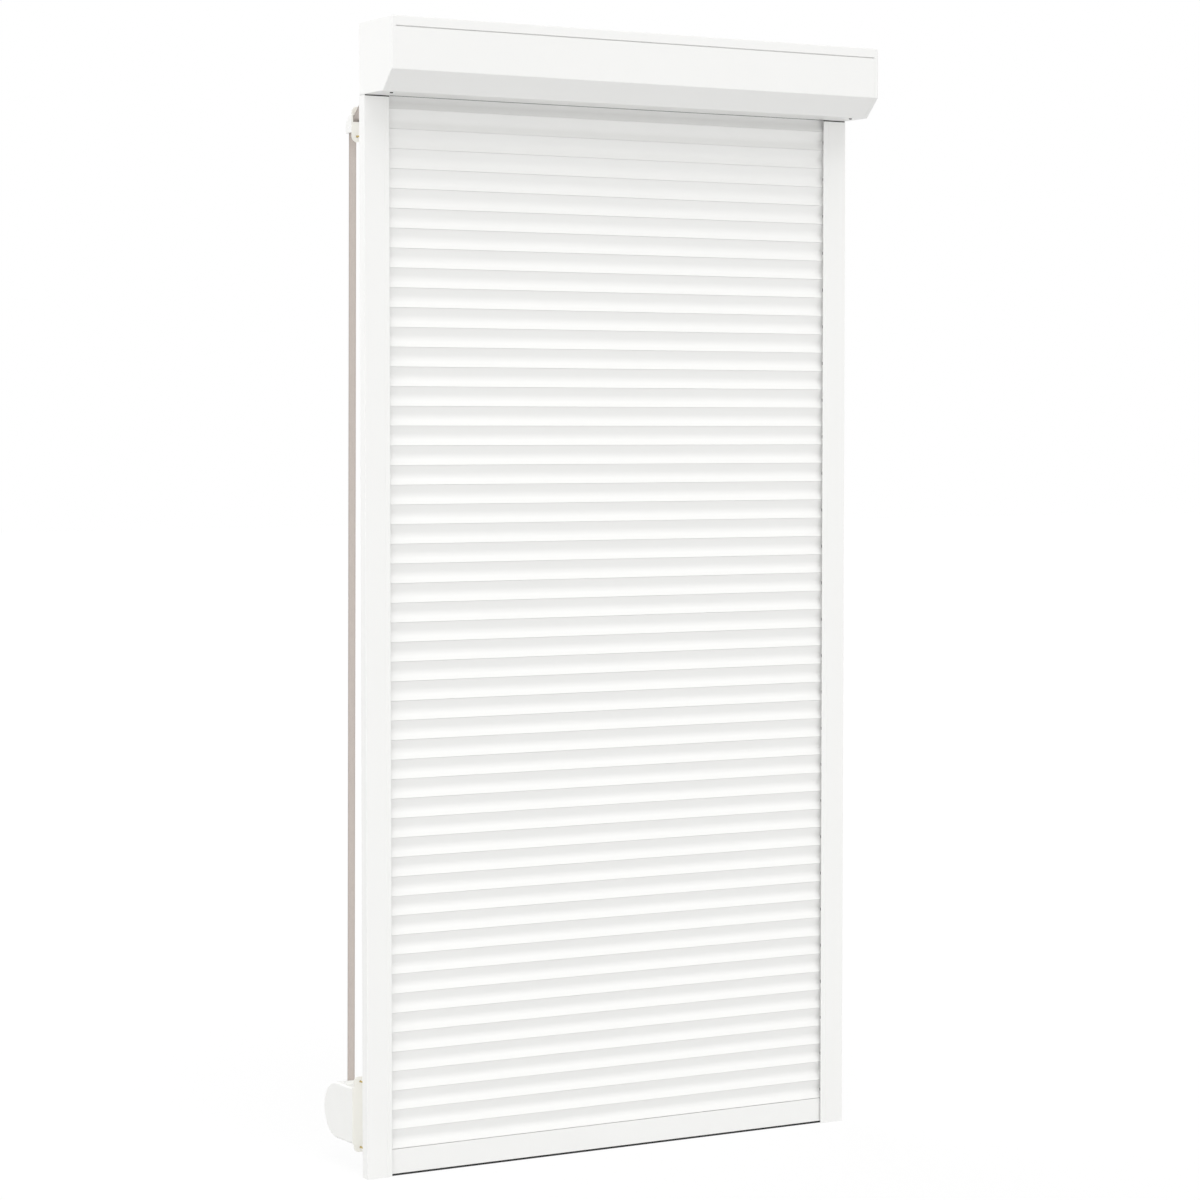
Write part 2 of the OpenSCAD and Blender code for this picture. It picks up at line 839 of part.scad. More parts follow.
// Solid of one half: a half turn round the reel and a straight part to the plate
module housing_body(by) {
    translate([strap_x, reel_c[0], reel_c[1]])
        rotate([0, 90, 0]) {
            rotate_extrude(angle = 180)
                housing_half_2d(by);
            rotate([90, 0, 0])
                linear_extrude(reel_c[0] - wall_depth - plate_t + (by > 0 ? cut : 0)) {
                    housing_half_2d(by);
                    mirror([1, 0])
                        housing_half_2d(by);
                }
        }
}

// Screw bosses beside the plate, grown into the housing's wall and clear of the reel
boss_r = 4;
boss_c = [wall_depth + plate_t + boss_r + cut, housing_r - housing_t / 2 - boss_r];
housing_screw_r = 1.5;
housing_screw_head = 1.8;

module at_bosses() {
    for (side = [-1, 1])
        translate([strap_x, boss_c[0], housing_z + side * boss_c[1]])
            rotate([0, 90, 0])
                children();
}

// Moulded half with screw bosses, axle collar and a notch for the strap inlet
module winder_half(bore_r) {
    depth = housing_w / 2 - housing_t;
    collar = 3;
    difference() {
        union() {
            difference() {
                housing_body(0);
                housing_body(housing_t);
            }
            at_bosses()
                cylinder(r = boss_r, h = depth + housing_t / 2);
            rod_x(reel_c, axle_r + collar, strap_x + depth - housing_t, strap_x + depth + housing_t / 2);
        }
        rod_x(reel_c, axle_r + pin_gap, strap_x - cut, strap_x + depth);
        at_bosses()
            translate([0, 0, -cut])
                cylinder(r = bore_r, h = housing_w);
        inlet_block(fit_gap);
    }
}

module winder_housing_right() {
    color(white)
        winder_half(housing_screw_r + fit_gap);
}

module winder_housing_left() {
    color(white)
        translate([2 * strap_x, 0, 0])
            mirror([1, 0, 0])
                winder_half(housing_screw_r + pin_gap);
}

// Place and outer size of the strap inlet, where the strap meets the housing's top
function inlet_at() =
    let (last = belt_angle(guide_c, guide_bend, reel_c, reel_bend, -1),
        end = reel_c - reel_bend * aim(last))
    [end[0] - (housing_r + inlet_h / 2) * tan(last), housing_z + housing_r];

module inlet_block(by) {
    at = inlet_at();
    translate([strap_x - inlet_w / 2 - by, at[0] - inlet_d / 2 - by, at[1] - housing_t - cut])
        cube([inlet_w + 2 * by, inlet_d + 2 * by, housing_t + cut + inlet_h]);
}

// Collar round the strap on top of the housing
module winder_inlet() {
    at = inlet_at();
    color(cream)
        difference() {
            inlet_block(0);
            translate([strap_x - strap_w / 2 - side_gap, at[0] - inlet_slot / 2, at[1] - 2 * housing_t])
                cube([strap_w + 2 * side_gap, inlet_slot, 4 * inlet_h]);
        }
}

// Screws from the right half into the bosses of the left half
module housing_screws() {
    r = housing_screw_r;
    head = housing_screw_head;
    bite = 10;
    tip = head + housing_w / 2 + bite;
    color(steel)
        at_bosses()
            translate([0, 0, housing_w / 2 + head])
                rotate([180, 0, 0])
                    rotate_extrude()
                        polygon([[0, 0], [1.4 * r, 0], [2 * r, head], [r, head], [r, tip], [0, tip]]);
}

module winder_axle() {
    color(steel)
        rod_x(reel_c, axle_r, strap_x - housing_w / 2 + housing_t, strap_x + housing_w / 2 - housing_t);
}

// Reel: drum for the strap with a spring chamber open to one side, and a hub on the axle
reel_w = strap_w + 2 * side_gap + 2 * flange_t;
drum_t = 2.5;
hub_r = axle_r + drum_t;

module winder_reel() {
    bore_r = axle_r + pin_gap;
    far = reel_w - flange_t;
    color(white)
        turned_x(reel_c, strap_x - reel_w / 2)
            polygon([[bore_r, 0], [reel_flange_r, 0], [reel_flange_r, flange_t], [reel_r, flange_t],
                [reel_r, far], [reel_flange_r, far], [reel_flange_r, reel_w], [reel_r - drum_t, reel_w],
                [reel_r - drum_t, flange_t], [hub_r, flange_t], [hub_r, reel_w], [bore_r, reel_w]]);
}

// Flat spiral spring between the hub and the drum
module winder_spring() {
    outer = reel_r - drum_t - run_gap;
    pitch = (outer - hub_r - run_gap - spring_t) / spring_turns;
    echo(least_gap_in_spring = least_gap(outer, spring_turns, pitch, spring_t));
    color(steel)
        along_x(strap_x - reel_w / 2 + flange_t + fit_gap, strap_x + reel_w / 2 - flange_t)
            translate(reel_c)
                polygon(spiral(outer, spring_turns, pitch, spring_t, 90, 1));
}

// Front hollow of a slat as a ring round the centre of its radius
module cove_2d(out, in, low, high) {
    intersection() {
        translate([cove_depth - cove_r, cove_mid])
            difference() {
                circle(r = cove_r + out, $fn = 128);
                circle(r = cove_r + in, $fn = 128);
            }
        polygon(box([-cut, low], [slat_depth + cut, high]));
    }
}

// Socket along a lower edge, open below
module socket_2d() {
    difference() {
        translate([hook_y, socket_r])
            circle(r = socket_r);
        socket_cut_2d();
    }
}

module socket_cut_2d() {
    translate([hook_y, socket_r])
        circle(r = socket_in);
    translate([hook_y - slot_w / 2, -cut])
        square([slot_w, socket_r + cut]);
}

// Bead on a stem that hangs in the socket above a joint line
module hook_2d(line) {
    translate([hook_y, line + socket_r - bead_drop])
        circle(r = bead_r);
    translate([hook_y - stem_t / 2, line - joint_gap - skin_t / 2])
        square([stem_t, joint_gap + skin_t / 2 + socket_r - bead_drop]);
}

clip_l = 12;
chamber_low = 2 * socket_r + skin_t;
chamber_high = slat_pitch - joint_gap - 1.5 * skin_t;

// One slat: hollow front, closed chamber, socket below and hook above
module slat_2d() {
    difference() {
        union() {
            cove_2d(slat_t, 0, 0, slat_pitch - joint_gap);
            socket_2d();
        }
        socket_cut_2d();
        cove_2d(slat_t - skin_t, skin_t, chamber_low, chamber_high);
    }
    hook_2d(slat_pitch);
}

module slats() {
    color(white)
        for (k = [0:slats_n - 1])
            translate([0, nose_y, bar_top + k * slat_pitch])
                along_x(-slat_end, slat_end)
                    slat_2d();
}

// Clips in the ends of every second slat, which keep the curtain from shifting sideways
module slat_end_clips() {
    in = skin_t + fit_gap;
    color(black)
        pair_x()
            for (k = [0:2:slats_n - 1])
                translate([0, nose_y, bar_top + k * slat_pitch]) {
                    along_x(slat_end - clip_l, slat_end)
                        cove_2d(slat_t - in, in, chamber_low + fit_gap, chamber_high - fit_gap);
                    along_x(slat_end, slat_end + clip_out)
                        cove_2d(slat_t, 0, chamber_low, chamber_high);
                }
}

// Spring steel strips from the flat of the shaft to the hook of the top slat
module curtain_hangers() {
    bend = 12;
    y = nose_y + hook_y + hanger_t / 2;
    level = shaft_z + shaft_af / 2 + run_gap;
    low = curtain_top + 2 * socket_r;
    bend_c = [y - bend, level + hanger_t - bend];
    span = 2 * slat_end;
    color(steel)
        for (k = [1:hangers])
            translate([span * (k - 0.5) / hangers - slat_end, 0, 0])
                along_x(-hanger_w / 2, hanger_w / 2) {
                    translate([nose_y, curtain_top])
                        socket_2d();
                    polygon(box([y - hanger_t, low - socket_t / 2], [y, bend_c[1]]));
                    translate(bend_c)
                        intersection() {
                            difference() {
                                circle(r = bend);
                                circle(r = bend - hanger_t);
                            }
                            square(bend);
                        }
                    polygon(box([shaft_y, level], [bend_c[0], level + hanger_t]));
                }
}

// Bottom bar: hollow section with the hook above and a slot for the seal below
neck_w = seal_w / 2;
head_h = 2.4;
neck_h = 2;
bar_mid = bar_t / 2;
bar_floor = neck_h + head_h + bar_wall;
bar_roof = bar_h - joint_gap - bar_wall;
bar_web = (bar_floor + bar_roof + bar_wall) / 2;
bar_edge_r = 0.8;

module bar_outline_2d(by) {
    polygon(rounded(inset(box([0, 0], [bar_t, bar_h - joint_gap]), by), bar_edge_r));
}

module bottom_bar() {
    color(white)
        translate([0, nose_y, bar_bottom])
            along_x(-slat_end, slat_end) {
                difference() {
                    bar_outline_2d(0);
                    polygon(box([bar_wall, bar_floor], [bar_t - bar_wall, bar_web - bar_wall / 2]));
                    polygon(box([bar_wall, bar_web + bar_wall / 2], [bar_t - bar_wall, bar_roof]));
                    polygon(box([bar_mid - seal_w / 2, neck_h], [bar_mid + seal_w / 2, neck_h + head_h]));
                    polygon(box([bar_mid - neck_w / 2, -cut], [bar_mid + neck_w / 2, neck_h + cut / 2]));
                }
                hook_2d(bar_h);
            }
}

// Rubber seal with a head in the bar's slot and a lip on the sill
module bottom_seal() {
    half = seal_w / 2;
    head = half - fit_gap;
    neck = neck_w / 2 - fit_gap;
    color(black)
        translate([0, nose_y + bar_mid, bar_bottom])
            along_x(-slat_end, slat_end) {
                polygon(box([-head, neck_h + fit_gap], [head, neck_h + head_h - fit_gap]));
                polygon(box([-neck, -cut / 2], [neck, neck_h + cut]));
                polygon(rounded(box([-half, -seal_h], [half, 0]), seal_h / 4));
            }
}

// Plastic plugs that close the ends of the bottom bar and slide in the rails
module bar_end_plugs() {
    side = bar_wall + fit_gap;
    color(black)
        translate([0, nose_y, bar_bottom])
            pair_x() {
                along_x(slat_end, slat_end + clip_out)
                    bar_outline_2d(fit_gap);
                along_x(slat_end - clip_l, slat_end + cut)
                    polygon(box([side, bar_web + bar_wall / 2 + fit_gap],
                        [bar_t - side, bar_roof - fit_gap]));
            }
}

end_cap_left();
end_cap_right();
top_cover();
front_cover();
cover_screws();
guide_rail_left();
guide_rail_right();
rail_piles();
inlet_funnels();
bearing_outer_rings();
bearing_balls();
bearing_inner_rings();
shaft_tube();
shaft_end_plug();
strap_pulley();
pulley_strap_coil();
curtain_hangers();
slats();
slat_end_clips();
bottom_bar();
bottom_seal();
bar_end_plugs();
strap_run();
strap_exit_bush();
strap_exit_roller();
strap_exit_pin();
guide_plate();
guide_hood();
guide_roller();
guide_roller_pin();
winder_plate();
winder_housing_left();
winder_housing_right();
winder_inlet();
housing_screws();
winder_axle();
winder_reel();
winder_spring();
reel_strap_coil();
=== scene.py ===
# %% [markdown]
# # Exterior roller shutter
# A roller shutter is a curtain of slats that a shaft in a cassette winds up. Two rails guide it,
# and a strap indoors pulls it. The shapes that fit and move come in as a frame of CAD nodes.
# This lesson models the pieces whose surface shows most, and gives every piece its finish.

# %% Load the frame
import json
import math

import bmesh
import bpy
from mathutils import Matrix, Vector
from mathutils import noise as spatial_noise


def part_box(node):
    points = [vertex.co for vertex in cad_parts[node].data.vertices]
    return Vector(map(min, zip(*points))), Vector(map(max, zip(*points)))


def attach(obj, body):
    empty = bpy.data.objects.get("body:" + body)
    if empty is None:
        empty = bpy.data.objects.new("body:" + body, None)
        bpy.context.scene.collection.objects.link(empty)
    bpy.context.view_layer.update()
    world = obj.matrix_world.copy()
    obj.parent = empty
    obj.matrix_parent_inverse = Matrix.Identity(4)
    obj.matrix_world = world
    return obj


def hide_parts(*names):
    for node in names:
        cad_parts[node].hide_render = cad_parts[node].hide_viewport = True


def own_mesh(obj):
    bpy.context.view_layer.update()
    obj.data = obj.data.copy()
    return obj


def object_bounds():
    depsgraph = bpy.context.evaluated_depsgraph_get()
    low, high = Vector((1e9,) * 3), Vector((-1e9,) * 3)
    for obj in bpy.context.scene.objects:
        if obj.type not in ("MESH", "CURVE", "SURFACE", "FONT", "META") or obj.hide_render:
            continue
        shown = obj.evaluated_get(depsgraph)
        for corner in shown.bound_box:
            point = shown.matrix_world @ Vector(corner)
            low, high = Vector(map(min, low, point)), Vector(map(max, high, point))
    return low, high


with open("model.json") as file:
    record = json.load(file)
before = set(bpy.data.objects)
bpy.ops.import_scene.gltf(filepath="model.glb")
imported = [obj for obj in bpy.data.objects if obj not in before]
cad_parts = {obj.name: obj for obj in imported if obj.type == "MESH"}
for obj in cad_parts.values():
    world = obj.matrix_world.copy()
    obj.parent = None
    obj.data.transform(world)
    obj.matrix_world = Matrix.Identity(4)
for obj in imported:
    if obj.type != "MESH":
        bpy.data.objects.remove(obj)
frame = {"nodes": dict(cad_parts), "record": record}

MM = 0.001
cad_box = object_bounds()
nodes = frame["nodes"]
scene = bpy.context.scene
scene.view_settings.view_transform = "Standard"

# %% [markdown]
# ## Camera
# The shutter was photographed from its left and from a little above its middle. A long lens keeps
# its uprights nearly parallel, although the camera looks down by three degrees.

# %% Camera
EYE = (-3.4384, -5.7659, -0.7037)
TILT = math.radians(87.165)
TURN = math.radians(30.655)
LENS_MM = 101.64
SENSOR_MM = 36
FARTHEST = 200
lens = bpy.data.cameras.new("view_lens")
lens.lens = LENS_MM
lens.sensor_width = SENSOR_MM
lens.clip_end = FARTHEST
camera = bpy.data.objects.new("view_camera", lens)
camera.location = EYE
camera.rotation_euler = (TILT, 0, -TURN)
scene.collection.objects.link(camera)
scene.camera = camera
print("camera at", EYE, "with a lens of", LENS_MM, "mm")

# %% [markdown]
# ## Node sums
# A finish is a small graph of nodes. Writing the graph as sums in Python keeps it readable:
# `1 - mask` is shorter than a node, two links and a value. So one class wraps a socket and
# turns each operator into a Math node, and one method adds any other node.

# %% Sockets that add up
class Wire:
    """An output socket of a finish. Arithmetic on it adds Math nodes."""

    def __init__(self, finish, socket):
        self.finish = finish
        self.socket = socket

    def math(self, operation, first, second):
        return self.finish.node("Math", {"operation": operation}, {0: first, 1: second})

    def __add__(self, other):
        return self.math("ADD", self, other)

    def __sub__(self, other):
        return self.math("SUBTRACT", self, other)

    def __rsub__(self, other):
        return self.math("SUBTRACT", other, self)

    def __mul__(self, other):
        return self.math("MULTIPLY", self, other)

    __radd__ = __add__
    __rmul__ = __mul__


class Finish:
    """The node tree of a material or a world, with one method that adds nodes to it."""

    def __init__(self, owner):
        owner.use_nodes = True
        self.owner = owner
        self.tree = owner.node_tree
        self.tree.nodes.clear()

    def node(self, kind, settings=None, inputs=None, output=0):
        made = self.tree.nodes.new("ShaderNode" + kind)
        for key, value in (settings or {}).items():
            setattr(made, key, value)
        for key, value in (inputs or {}).items():
            if isinstance(value, Wire):
                self.tree.links.new(value.socket, made.inputs[key])
            else:
                made.inputs[key].default_value = value
        return Wire(self, made.outputs[output]) if made.outputs else None


print("node sums are ready")

# %% [markdown]
# ## Light
# The photograph is a studio shot in a white room. One soft lamp stands high in front: it shades
# the upper half of each slat, and throws the shadow of the cassette on the curtain. A second,
# softer one stands on the left and clears the side of the cassette, and a third one stands behind.
# A weak one in front casts no shadow: it stands for the light that white walls throw into corners,
# such as the one below the cassette. A pale world fills the rest. The camera sees world and floor
# as plain white, and the floor keeps a share of its own shading, so that the shutter still stands
# on something.

# %% Lamps and fill
WHITE = (1, 1, 1, 1)
FILL = 0.55
KEY_POWER = 0.95
KEY_FROM = Vector((-0.10, -0.57, 0.82)).normalized()
KEY_SPREAD = math.radians(50)
SIDE_POWER = 1.1
SIDE_FROM = Vector((-0.96, -0.27, 0.05)).normalized()
SIDE_SPREAD = math.radians(100)
BACK_POWER = 0.98
BACK_FROM = Vector((-0.30, 0.80, 0.50)).normalized()
BACK_SPREAD = math.radians(75)
WALL_POWER = 0.48
WALL_FROM = Vector((0, -1, 0))


def soft_sun(name, power, spread, towards, shadow=True):
    """A sun with a disc as wide as its spread, in a direction seen from the shutter."""
    lamp = bpy.data.lights.new(name, "SUN")
    lamp.energy = power
    lamp.angle = spread
    lamp.use_shadow = shadow
    stand = bpy.data.objects.new(name, lamp)
    stand.rotation_euler = towards.to_track_quat("Z", "Y").to_euler()
    scene.collection.objects.link(stand)


def seen_directly(finish):
    """1 for rays from the camera and for those that metal and glass mirror or let through."""
    kinds = ("Is Camera Ray", "Is Glossy Ray", "Is Transmission Ray")
    camera_ray, glossy_ray, through_ray = [finish.node("LightPath", output=kind) for kind in kinds]
    return finish.node("Math", {"operation": "ADD", "use_clamp": True},
                       {0: camera_ray, 1: glossy_ray + through_ray})


soft_sun("key_lamp", KEY_POWER, KEY_SPREAD, KEY_FROM)
soft_sun("side_lamp", SIDE_POWER, SIDE_SPREAD, SIDE_FROM)
soft_sun("back_lamp", BACK_POWER, BACK_SPREAD, BACK_FROM)
soft_sun("wall_light", WALL_POWER, 0, WALL_FROM, shadow=False)
room = Finish(bpy.data.worlds.new("white_room"))
fill = room.node("Background", inputs={"Color": WHITE, "Strength": FILL})
backdrop = room.node("Background", inputs={"Color": WHITE, "Strength": 1.0})
air = room.node("MixShader", inputs={0: seen_directly(room), 1: fill, 2: backdrop})
room.node("OutputWorld", inputs={"Surface": air})
scene.world = room.owner
print("lamps of", KEY_POWER, SIDE_POWER, BACK_POWER, "and", WALL_POWER, "over a fill of", FILL)

# %% Floor
FLOOR_GREY = 0.64
FLOOR_SHADING = 0.25
FLOOR_REACH = 40

lamp_share = (KEY_POWER * KEY_FROM.z + SIDE_POWER * SIDE_FROM.z + BACK_POWER * BACK_FROM.z) / math.pi
open_floor = FLOOR_GREY * (FILL + lamp_share)
paper = Finish(bpy.data.materials.new("white_paper"))
shaded = paper.node("BsdfDiffuse", inputs={"Color": (FLOOR_GREY, FLOOR_GREY, FLOOR_GREY, 1)})
plain = paper.node("Emission", inputs={
    "Color": WHITE, "Strength": (1 - FLOOR_SHADING * open_floor) / (1 - FLOOR_SHADING)})
share = seen_directly(paper) * (1 - FLOOR_SHADING)
ground = paper.node("MixShader", inputs={0: share, 1: shaded, 2: plain})
paper.node("OutputMaterial", inputs={"Surface": ground})

floor_mesh = bpy.data.meshes.new("floor")
sheet = bmesh.new()
bmesh.ops.create_grid(sheet, x_segments=1, y_segments=1, size=FLOOR_REACH,
                      matrix=Matrix.Translation((0, 0, cad_box[0].z)))
sheet.to_mesh(floor_mesh)
sheet.free()
floor = bpy.data.objects.new("floor", floor_mesh)
floor_mesh.materials.append(paper.owner)
scene.collection.objects.link(floor)
print("floor at", round(cad_box[0].z, 4), "m, in the open as bright as", round(open_floor, 2))

# %% [markdown]
# ## Finishes
# White aluminium and white plastic look alike from a step away, and differ close up. Powder coat
# has a faint orange peel, moulded plastic an even fine grain from its mould. Both are drawn on
# Object coordinates, which are metres here, so a scale of 900 gives grains of about a millimetre.

# %% Helpers for finishes
def noise(finish, scale, detail=2.0, stretch=(1, 1, 1)):
    """Soft noise from 0 to 1 on the piece's own place, stretched along an axis if asked."""
    place = finish.node("TexCoord", output="Object")
    if stretch != (1, 1, 1):
        place = finish.node("Mapping", inputs={"Vector": place, "Scale": stretch})
    return finish.node("TexNoise", inputs={"Vector": place, "Scale": scale, "Detail": detail})


def between(finish, share, first, second):
    """Colour between two colours."""
    return finish.node("Mix", {"data_type": "RGBA"},
                       {0: share, 6: (*first, 1), 7: (*second, 1)}, output=2)


def raised(finish, height, depth):
    """Normal of a surface whose relief is height times depth, in metres."""
    return finish.node("Bump", inputs={"Height": height, "Distance": depth, "Strength": 1.0})


def coat(finish, **inputs):
    """Principled shader with these sockets, led to the material's output."""
    named = {key.replace("_", " ").title(): value for key, value in inputs.items()}
    shader = finish.node("BsdfPrincipled", inputs=named)
    finish.node("OutputMaterial", inputs={"Surface": shader})
    return finish.owner


def shade(colour, by):
    return tuple(part * by for part in colour)


def new_finish(name):
    return Finish(bpy.data.materials.new(name))


print("finish helpers are ready")

# %% Powder coat and plastics
COAT_WHITE = (0.92, 0.92, 0.905)
PLASTIC_WHITE = (0.93, 0.93, 0.91)
CREAM = (0.90, 0.89, 0.835)
BLACK = (0.03, 0.03, 0.032)
PEEL_SCALE = 900
PEEL_DEPTH = 0.02 * MM
FINE_GRAIN = 1800
COARSE_GRAIN = 1600
GRAIN_DEPTH = 0.03 * MM


def powder_coat(name, colour, roughness):
    finish = new_finish(name)
    cloud = noise(finish, scale=4, detail=3)
    peel = noise(finish, PEEL_SCALE, detail=1)
    return coat(finish, base_color=between(finish, cloud, shade(colour, 0.985), colour),
                roughness=roughness + 0.08 * cloud, normal=raised(finish, peel, PEEL_DEPTH),
                coat_weight=0.25, coat_roughness=0.3)


def moulded(name, colour, grain_scale, roughness):
    finish = new_finish(name)
    cloud = noise(finish, scale=25)
    grain = noise(finish, grain_scale, detail=3)
    return coat(finish, base_color=between(finish, cloud, shade(colour, 0.97), colour),
                roughness=roughness + 0.1 * grain, normal=raised(finish, grain, GRAIN_DEPTH))


white_coat = powder_coat("white_powder_coat", COAT_WHITE, roughness=0.34)
white_plastic = moulded("white_plastic", PLASTIC_WHITE, FINE_GRAIN, roughness=0.38)
cream_plastic = moulded("cream_plastic", CREAM, FINE_GRAIN, roughness=0.42)
black_plastic = moulded("black_plastic", BLACK, COARSE_GRAIN, roughness=0.45)
print("finishes:", white_coat.name, white_plastic.name, cream_plastic.name, black_plastic.name)

# %% [markdown]
# ## Steel, rubber, pile and webbing
# Galvanised sheet shows spangle, a mosaic of zinc crystals, which Voronoi cells draw well.
# Turned steel shows fine rings along its axis. The strap is flat woven webbing: its threads cross
# at right angles, so its pattern is the product of two waves on the strap's own UV map, with one
# unit a metre both ways.

# %% Metals, rubber and pile
SPANGLE_SCALE = 160
RING_SCALE = 900
RING_DEPTH = 0.01 * MM
TINT_SCALE = 300
RUBBER_GRAIN = 2500
FIBRE_SCALE = 3000
FIBRE_DEPTH = 0.2 * MM


def galvanised(name):
    finish = new_finish(name)
    place = finish.node("TexCoord", output="Object")
    spangle = finish.node("TexVoronoi", inputs={"Vector": place, "Scale": SPANGLE_SCALE},
                          output="Color")
    cell = finish.node("RGBToBW", inputs={"Color": spangle})
    return coat(finish, base_color=between(finish, cell, (0.52, 0.53, 0.54), (0.70, 0.71, 0.72)),
                metallic=1.0, roughness=0.32 + 0.2 * cell)


def turned_steel(name):
    finish = new_finish(name)
    rings = noise(finish, RING_SCALE, stretch=(1, 0.05, 0.05))
    return coat(finish, base_color=between(finish, rings, (0.60, 0.60, 0.61), (0.74, 0.74, 0.75)),
                metallic=1.0, roughness=0.2 + 0.15 * rings, normal=raised(finish, rings, RING_DEPTH))


def black_rubber(name):
    finish = new_finish(name)
    bloom = noise(finish, scale=120, detail=4)
    grain = noise(finish, RUBBER_GRAIN)
    tone = between(finish, bloom, (0.010, 0.010, 0.010), (0.024, 0.023, 0.022))
    return coat(finish, base_color=tone,
                roughness=0.72 + 0.15 * bloom, normal=raised(finish, grain, GRAIN_DEPTH))


def pile_fibre(name):
    finish = new_finish(name)
    fibre = noise(finish, FIBRE_SCALE, stretch=(1, 0.15, 1))
    return coat(finish, base_color=between(finish, fibre, (0.05, 0.05, 0.052), (0.15, 0.15, 0.155)),
                roughness=0.9, sheen_weight=0.4, normal=raised(finish, fibre, FIBRE_DEPTH))


def passivated(name, dark, light, roughness):
    """Zinc plating that a bath has tinted."""
    finish = new_finish(name)
    tint = noise(finish, TINT_SCALE, detail=3)
    return coat(finish, base_color=between(finish, tint, dark, light),
                metallic=1.0, roughness=roughness + 0.15 * tint)


zinc = galvanised("zinc_spangle")
black_zinc = passivated("black_zinc", BLACK, (0.07, 0.07, 0.072), roughness=0.40)
yellow_zinc = passivated("yellow_zinc", (0.42, 0.30, 0.10), (0.62, 0.50, 0.22), roughness=0.30)
bright_steel = turned_steel("turned_steel")
rubber = black_rubber("seal_rubber")
pile = pile_fibre("brush_pile")
print("metals and rubbers:", zinc.name, bright_steel.name, rubber.name, pile.name)

# %% Webbing
STRAP_W = 15 * MM
THREAD = 1.15 * MM
WEAVE_DEPTH = 0.12 * MM
SELVEDGE_FROM = 5.2 * MM
SELVEDGE_TO = 5.6 * MM
YARN_SCALE = 420
TAUPE = (0.615, 0.55, 0.51)


def webbing(name):
    finish = new_finish(name)
    uv = finish.node("UVMap", {"uv_map": "cloth"})
    across = finish.node("SeparateXYZ", inputs={"Vector": uv}, output="X")
    along = finish.node("SeparateXYZ", inputs={"Vector": uv}, output="Y")
    turns = 2 * math.pi / THREAD
    warp = finish.node("Math", {"operation": "SINE"}, {0: across * turns})
    weft = finish.node("Math", {"operation": "SINE"}, {0: along * turns})
    weave = 0.5 + 0.5 * (warp * weft)
    middle = finish.node("Math", {"operation": "ABSOLUTE"}, {0: across - STRAP_W / 2})
    selvedge = finish.node("MapRange",
                           inputs={0: middle, 1: SELVEDGE_FROM, 2: SELVEDGE_TO, 3: 0.0, 4: 1.0})
    yarn = noise(finish, YARN_SCALE, detail=4, stretch=(1, 1, 0.2))
    cloth = between(finish, 0.65 * weave + 0.35 * yarn, shade(TAUPE, 0.78), shade(TAUPE, 1.12))
    edged = finish.node("Mix", {"data_type": "RGBA"},
                        {0: selvedge * 0.35, 6: cloth, 7: (*shade(TAUPE, 0.7), 1)}, output=2)
    return coat(finish, base_color=edged, roughness=0.82 + 0.1 * yarn, sheen_weight=0.3,
                normal=raised(finish, weave, WEAVE_DEPTH))


strap_webbing = webbing("strap_webbing")
print("webbing with a thread every", round(THREAD / MM, 2), "mm")

# %% [markdown]
# ## From a mesh to a piece
# Every piece ends the same way: its mesh gets smooth shading with crisp edges, a finish, the body
# it moves with and the CAD nodes that it stands for. A CAD node whose shape is right is copied,
# its triangles are joined up, and the edges that a hand would feel are rounded.

# %% Helpers for pieces
SHARP = math.radians(32)
HIDDEN_FACE = math.radians(0.5)
MERGED = 0.0005 * MM


def finished(name, bm, material, body="fixed_frame", stands_for=(), thickness=0):
    """Turns a bmesh into a piece that rides on a body and stands for CAD nodes."""
    mesh = bpy.data.meshes.new(name)
    bm.to_mesh(mesh)
    bm.free()
    mesh.shade_smooth()
    mesh.set_sharp_from_angle(angle=SHARP)
    mesh.materials.append(material)
    piece = bpy.data.objects.new(name, mesh)
    scene.collection.objects.link(piece)
    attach(piece, body)
    if stands_for:
        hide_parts(*stands_for)
    if thickness:
        thick = piece.modifiers.new("thickness", "SOLIDIFY")
        thick.thickness = thickness
        thick.offset = 0
    flat = piece.modifiers.new("flat_faces", "WEIGHTED_NORMAL")
    flat.keep_sharp = True
    print(name, "has", len(mesh.polygons), "faces and rides on", body)
    return piece


def copy_of(node):
    """A CAD node's mesh with its triangles joined up and its flat areas made whole."""
    bm = bmesh.new()
    bm.from_mesh(nodes[node].data)
    bmesh.ops.remove_doubles(bm, verts=bm.verts, dist=MERGED)
    bmesh.ops.dissolve_limit(bm, angle_limit=HIDDEN_FACE, verts=bm.verts, edges=bm.edges)
    return bm


def soften(bm, width, where, segments=3):
    """Rounds the sharp edges whose middle lies where asked."""
    sharp = [e for e in bm.edges if len(e.link_faces) == 2 and e.calc_face_angle() > SHARP
             and where((e.verts[0].co + e.verts[1].co) / 2)]
    bmesh.ops.bevel(bm, geom=sharp, offset=width, segments=segments, profile=0.5,
                    affect="EDGES", material=-1, clamp_overlap=False)
    return bm


def only(kind, geometry):
    """The vertices, edges or faces among the geometry that an operator gave back."""
    return [item for item in geometry if isinstance(item, kind)]


def drawn_out(bm, faces, length):
    """Draws faces in the YZ plane out along X."""
    geometry = bmesh.ops.extrude_face_region(bm, geom=faces)["geom"]
    bmesh.ops.translate(bm, vec=(length, 0, 0), verts=only(bmesh.types.BMVert, geometry))


def grown(bm, faces, by):
    """Extrudes faces of a solid by a vector and returns the faces at the far end."""
    geometry = bmesh.ops.extrude_face_region(bm, geom=faces)["geom"]
    bmesh.ops.delete(bm, geom=faces, context="FACES")
    bmesh.ops.translate(bm, vec=by, verts=only(bmesh.types.BMVert, geometry))
    bm.normal_update()
    return only(bmesh.types.BMFace, geometry)


print("piece helpers are ready")

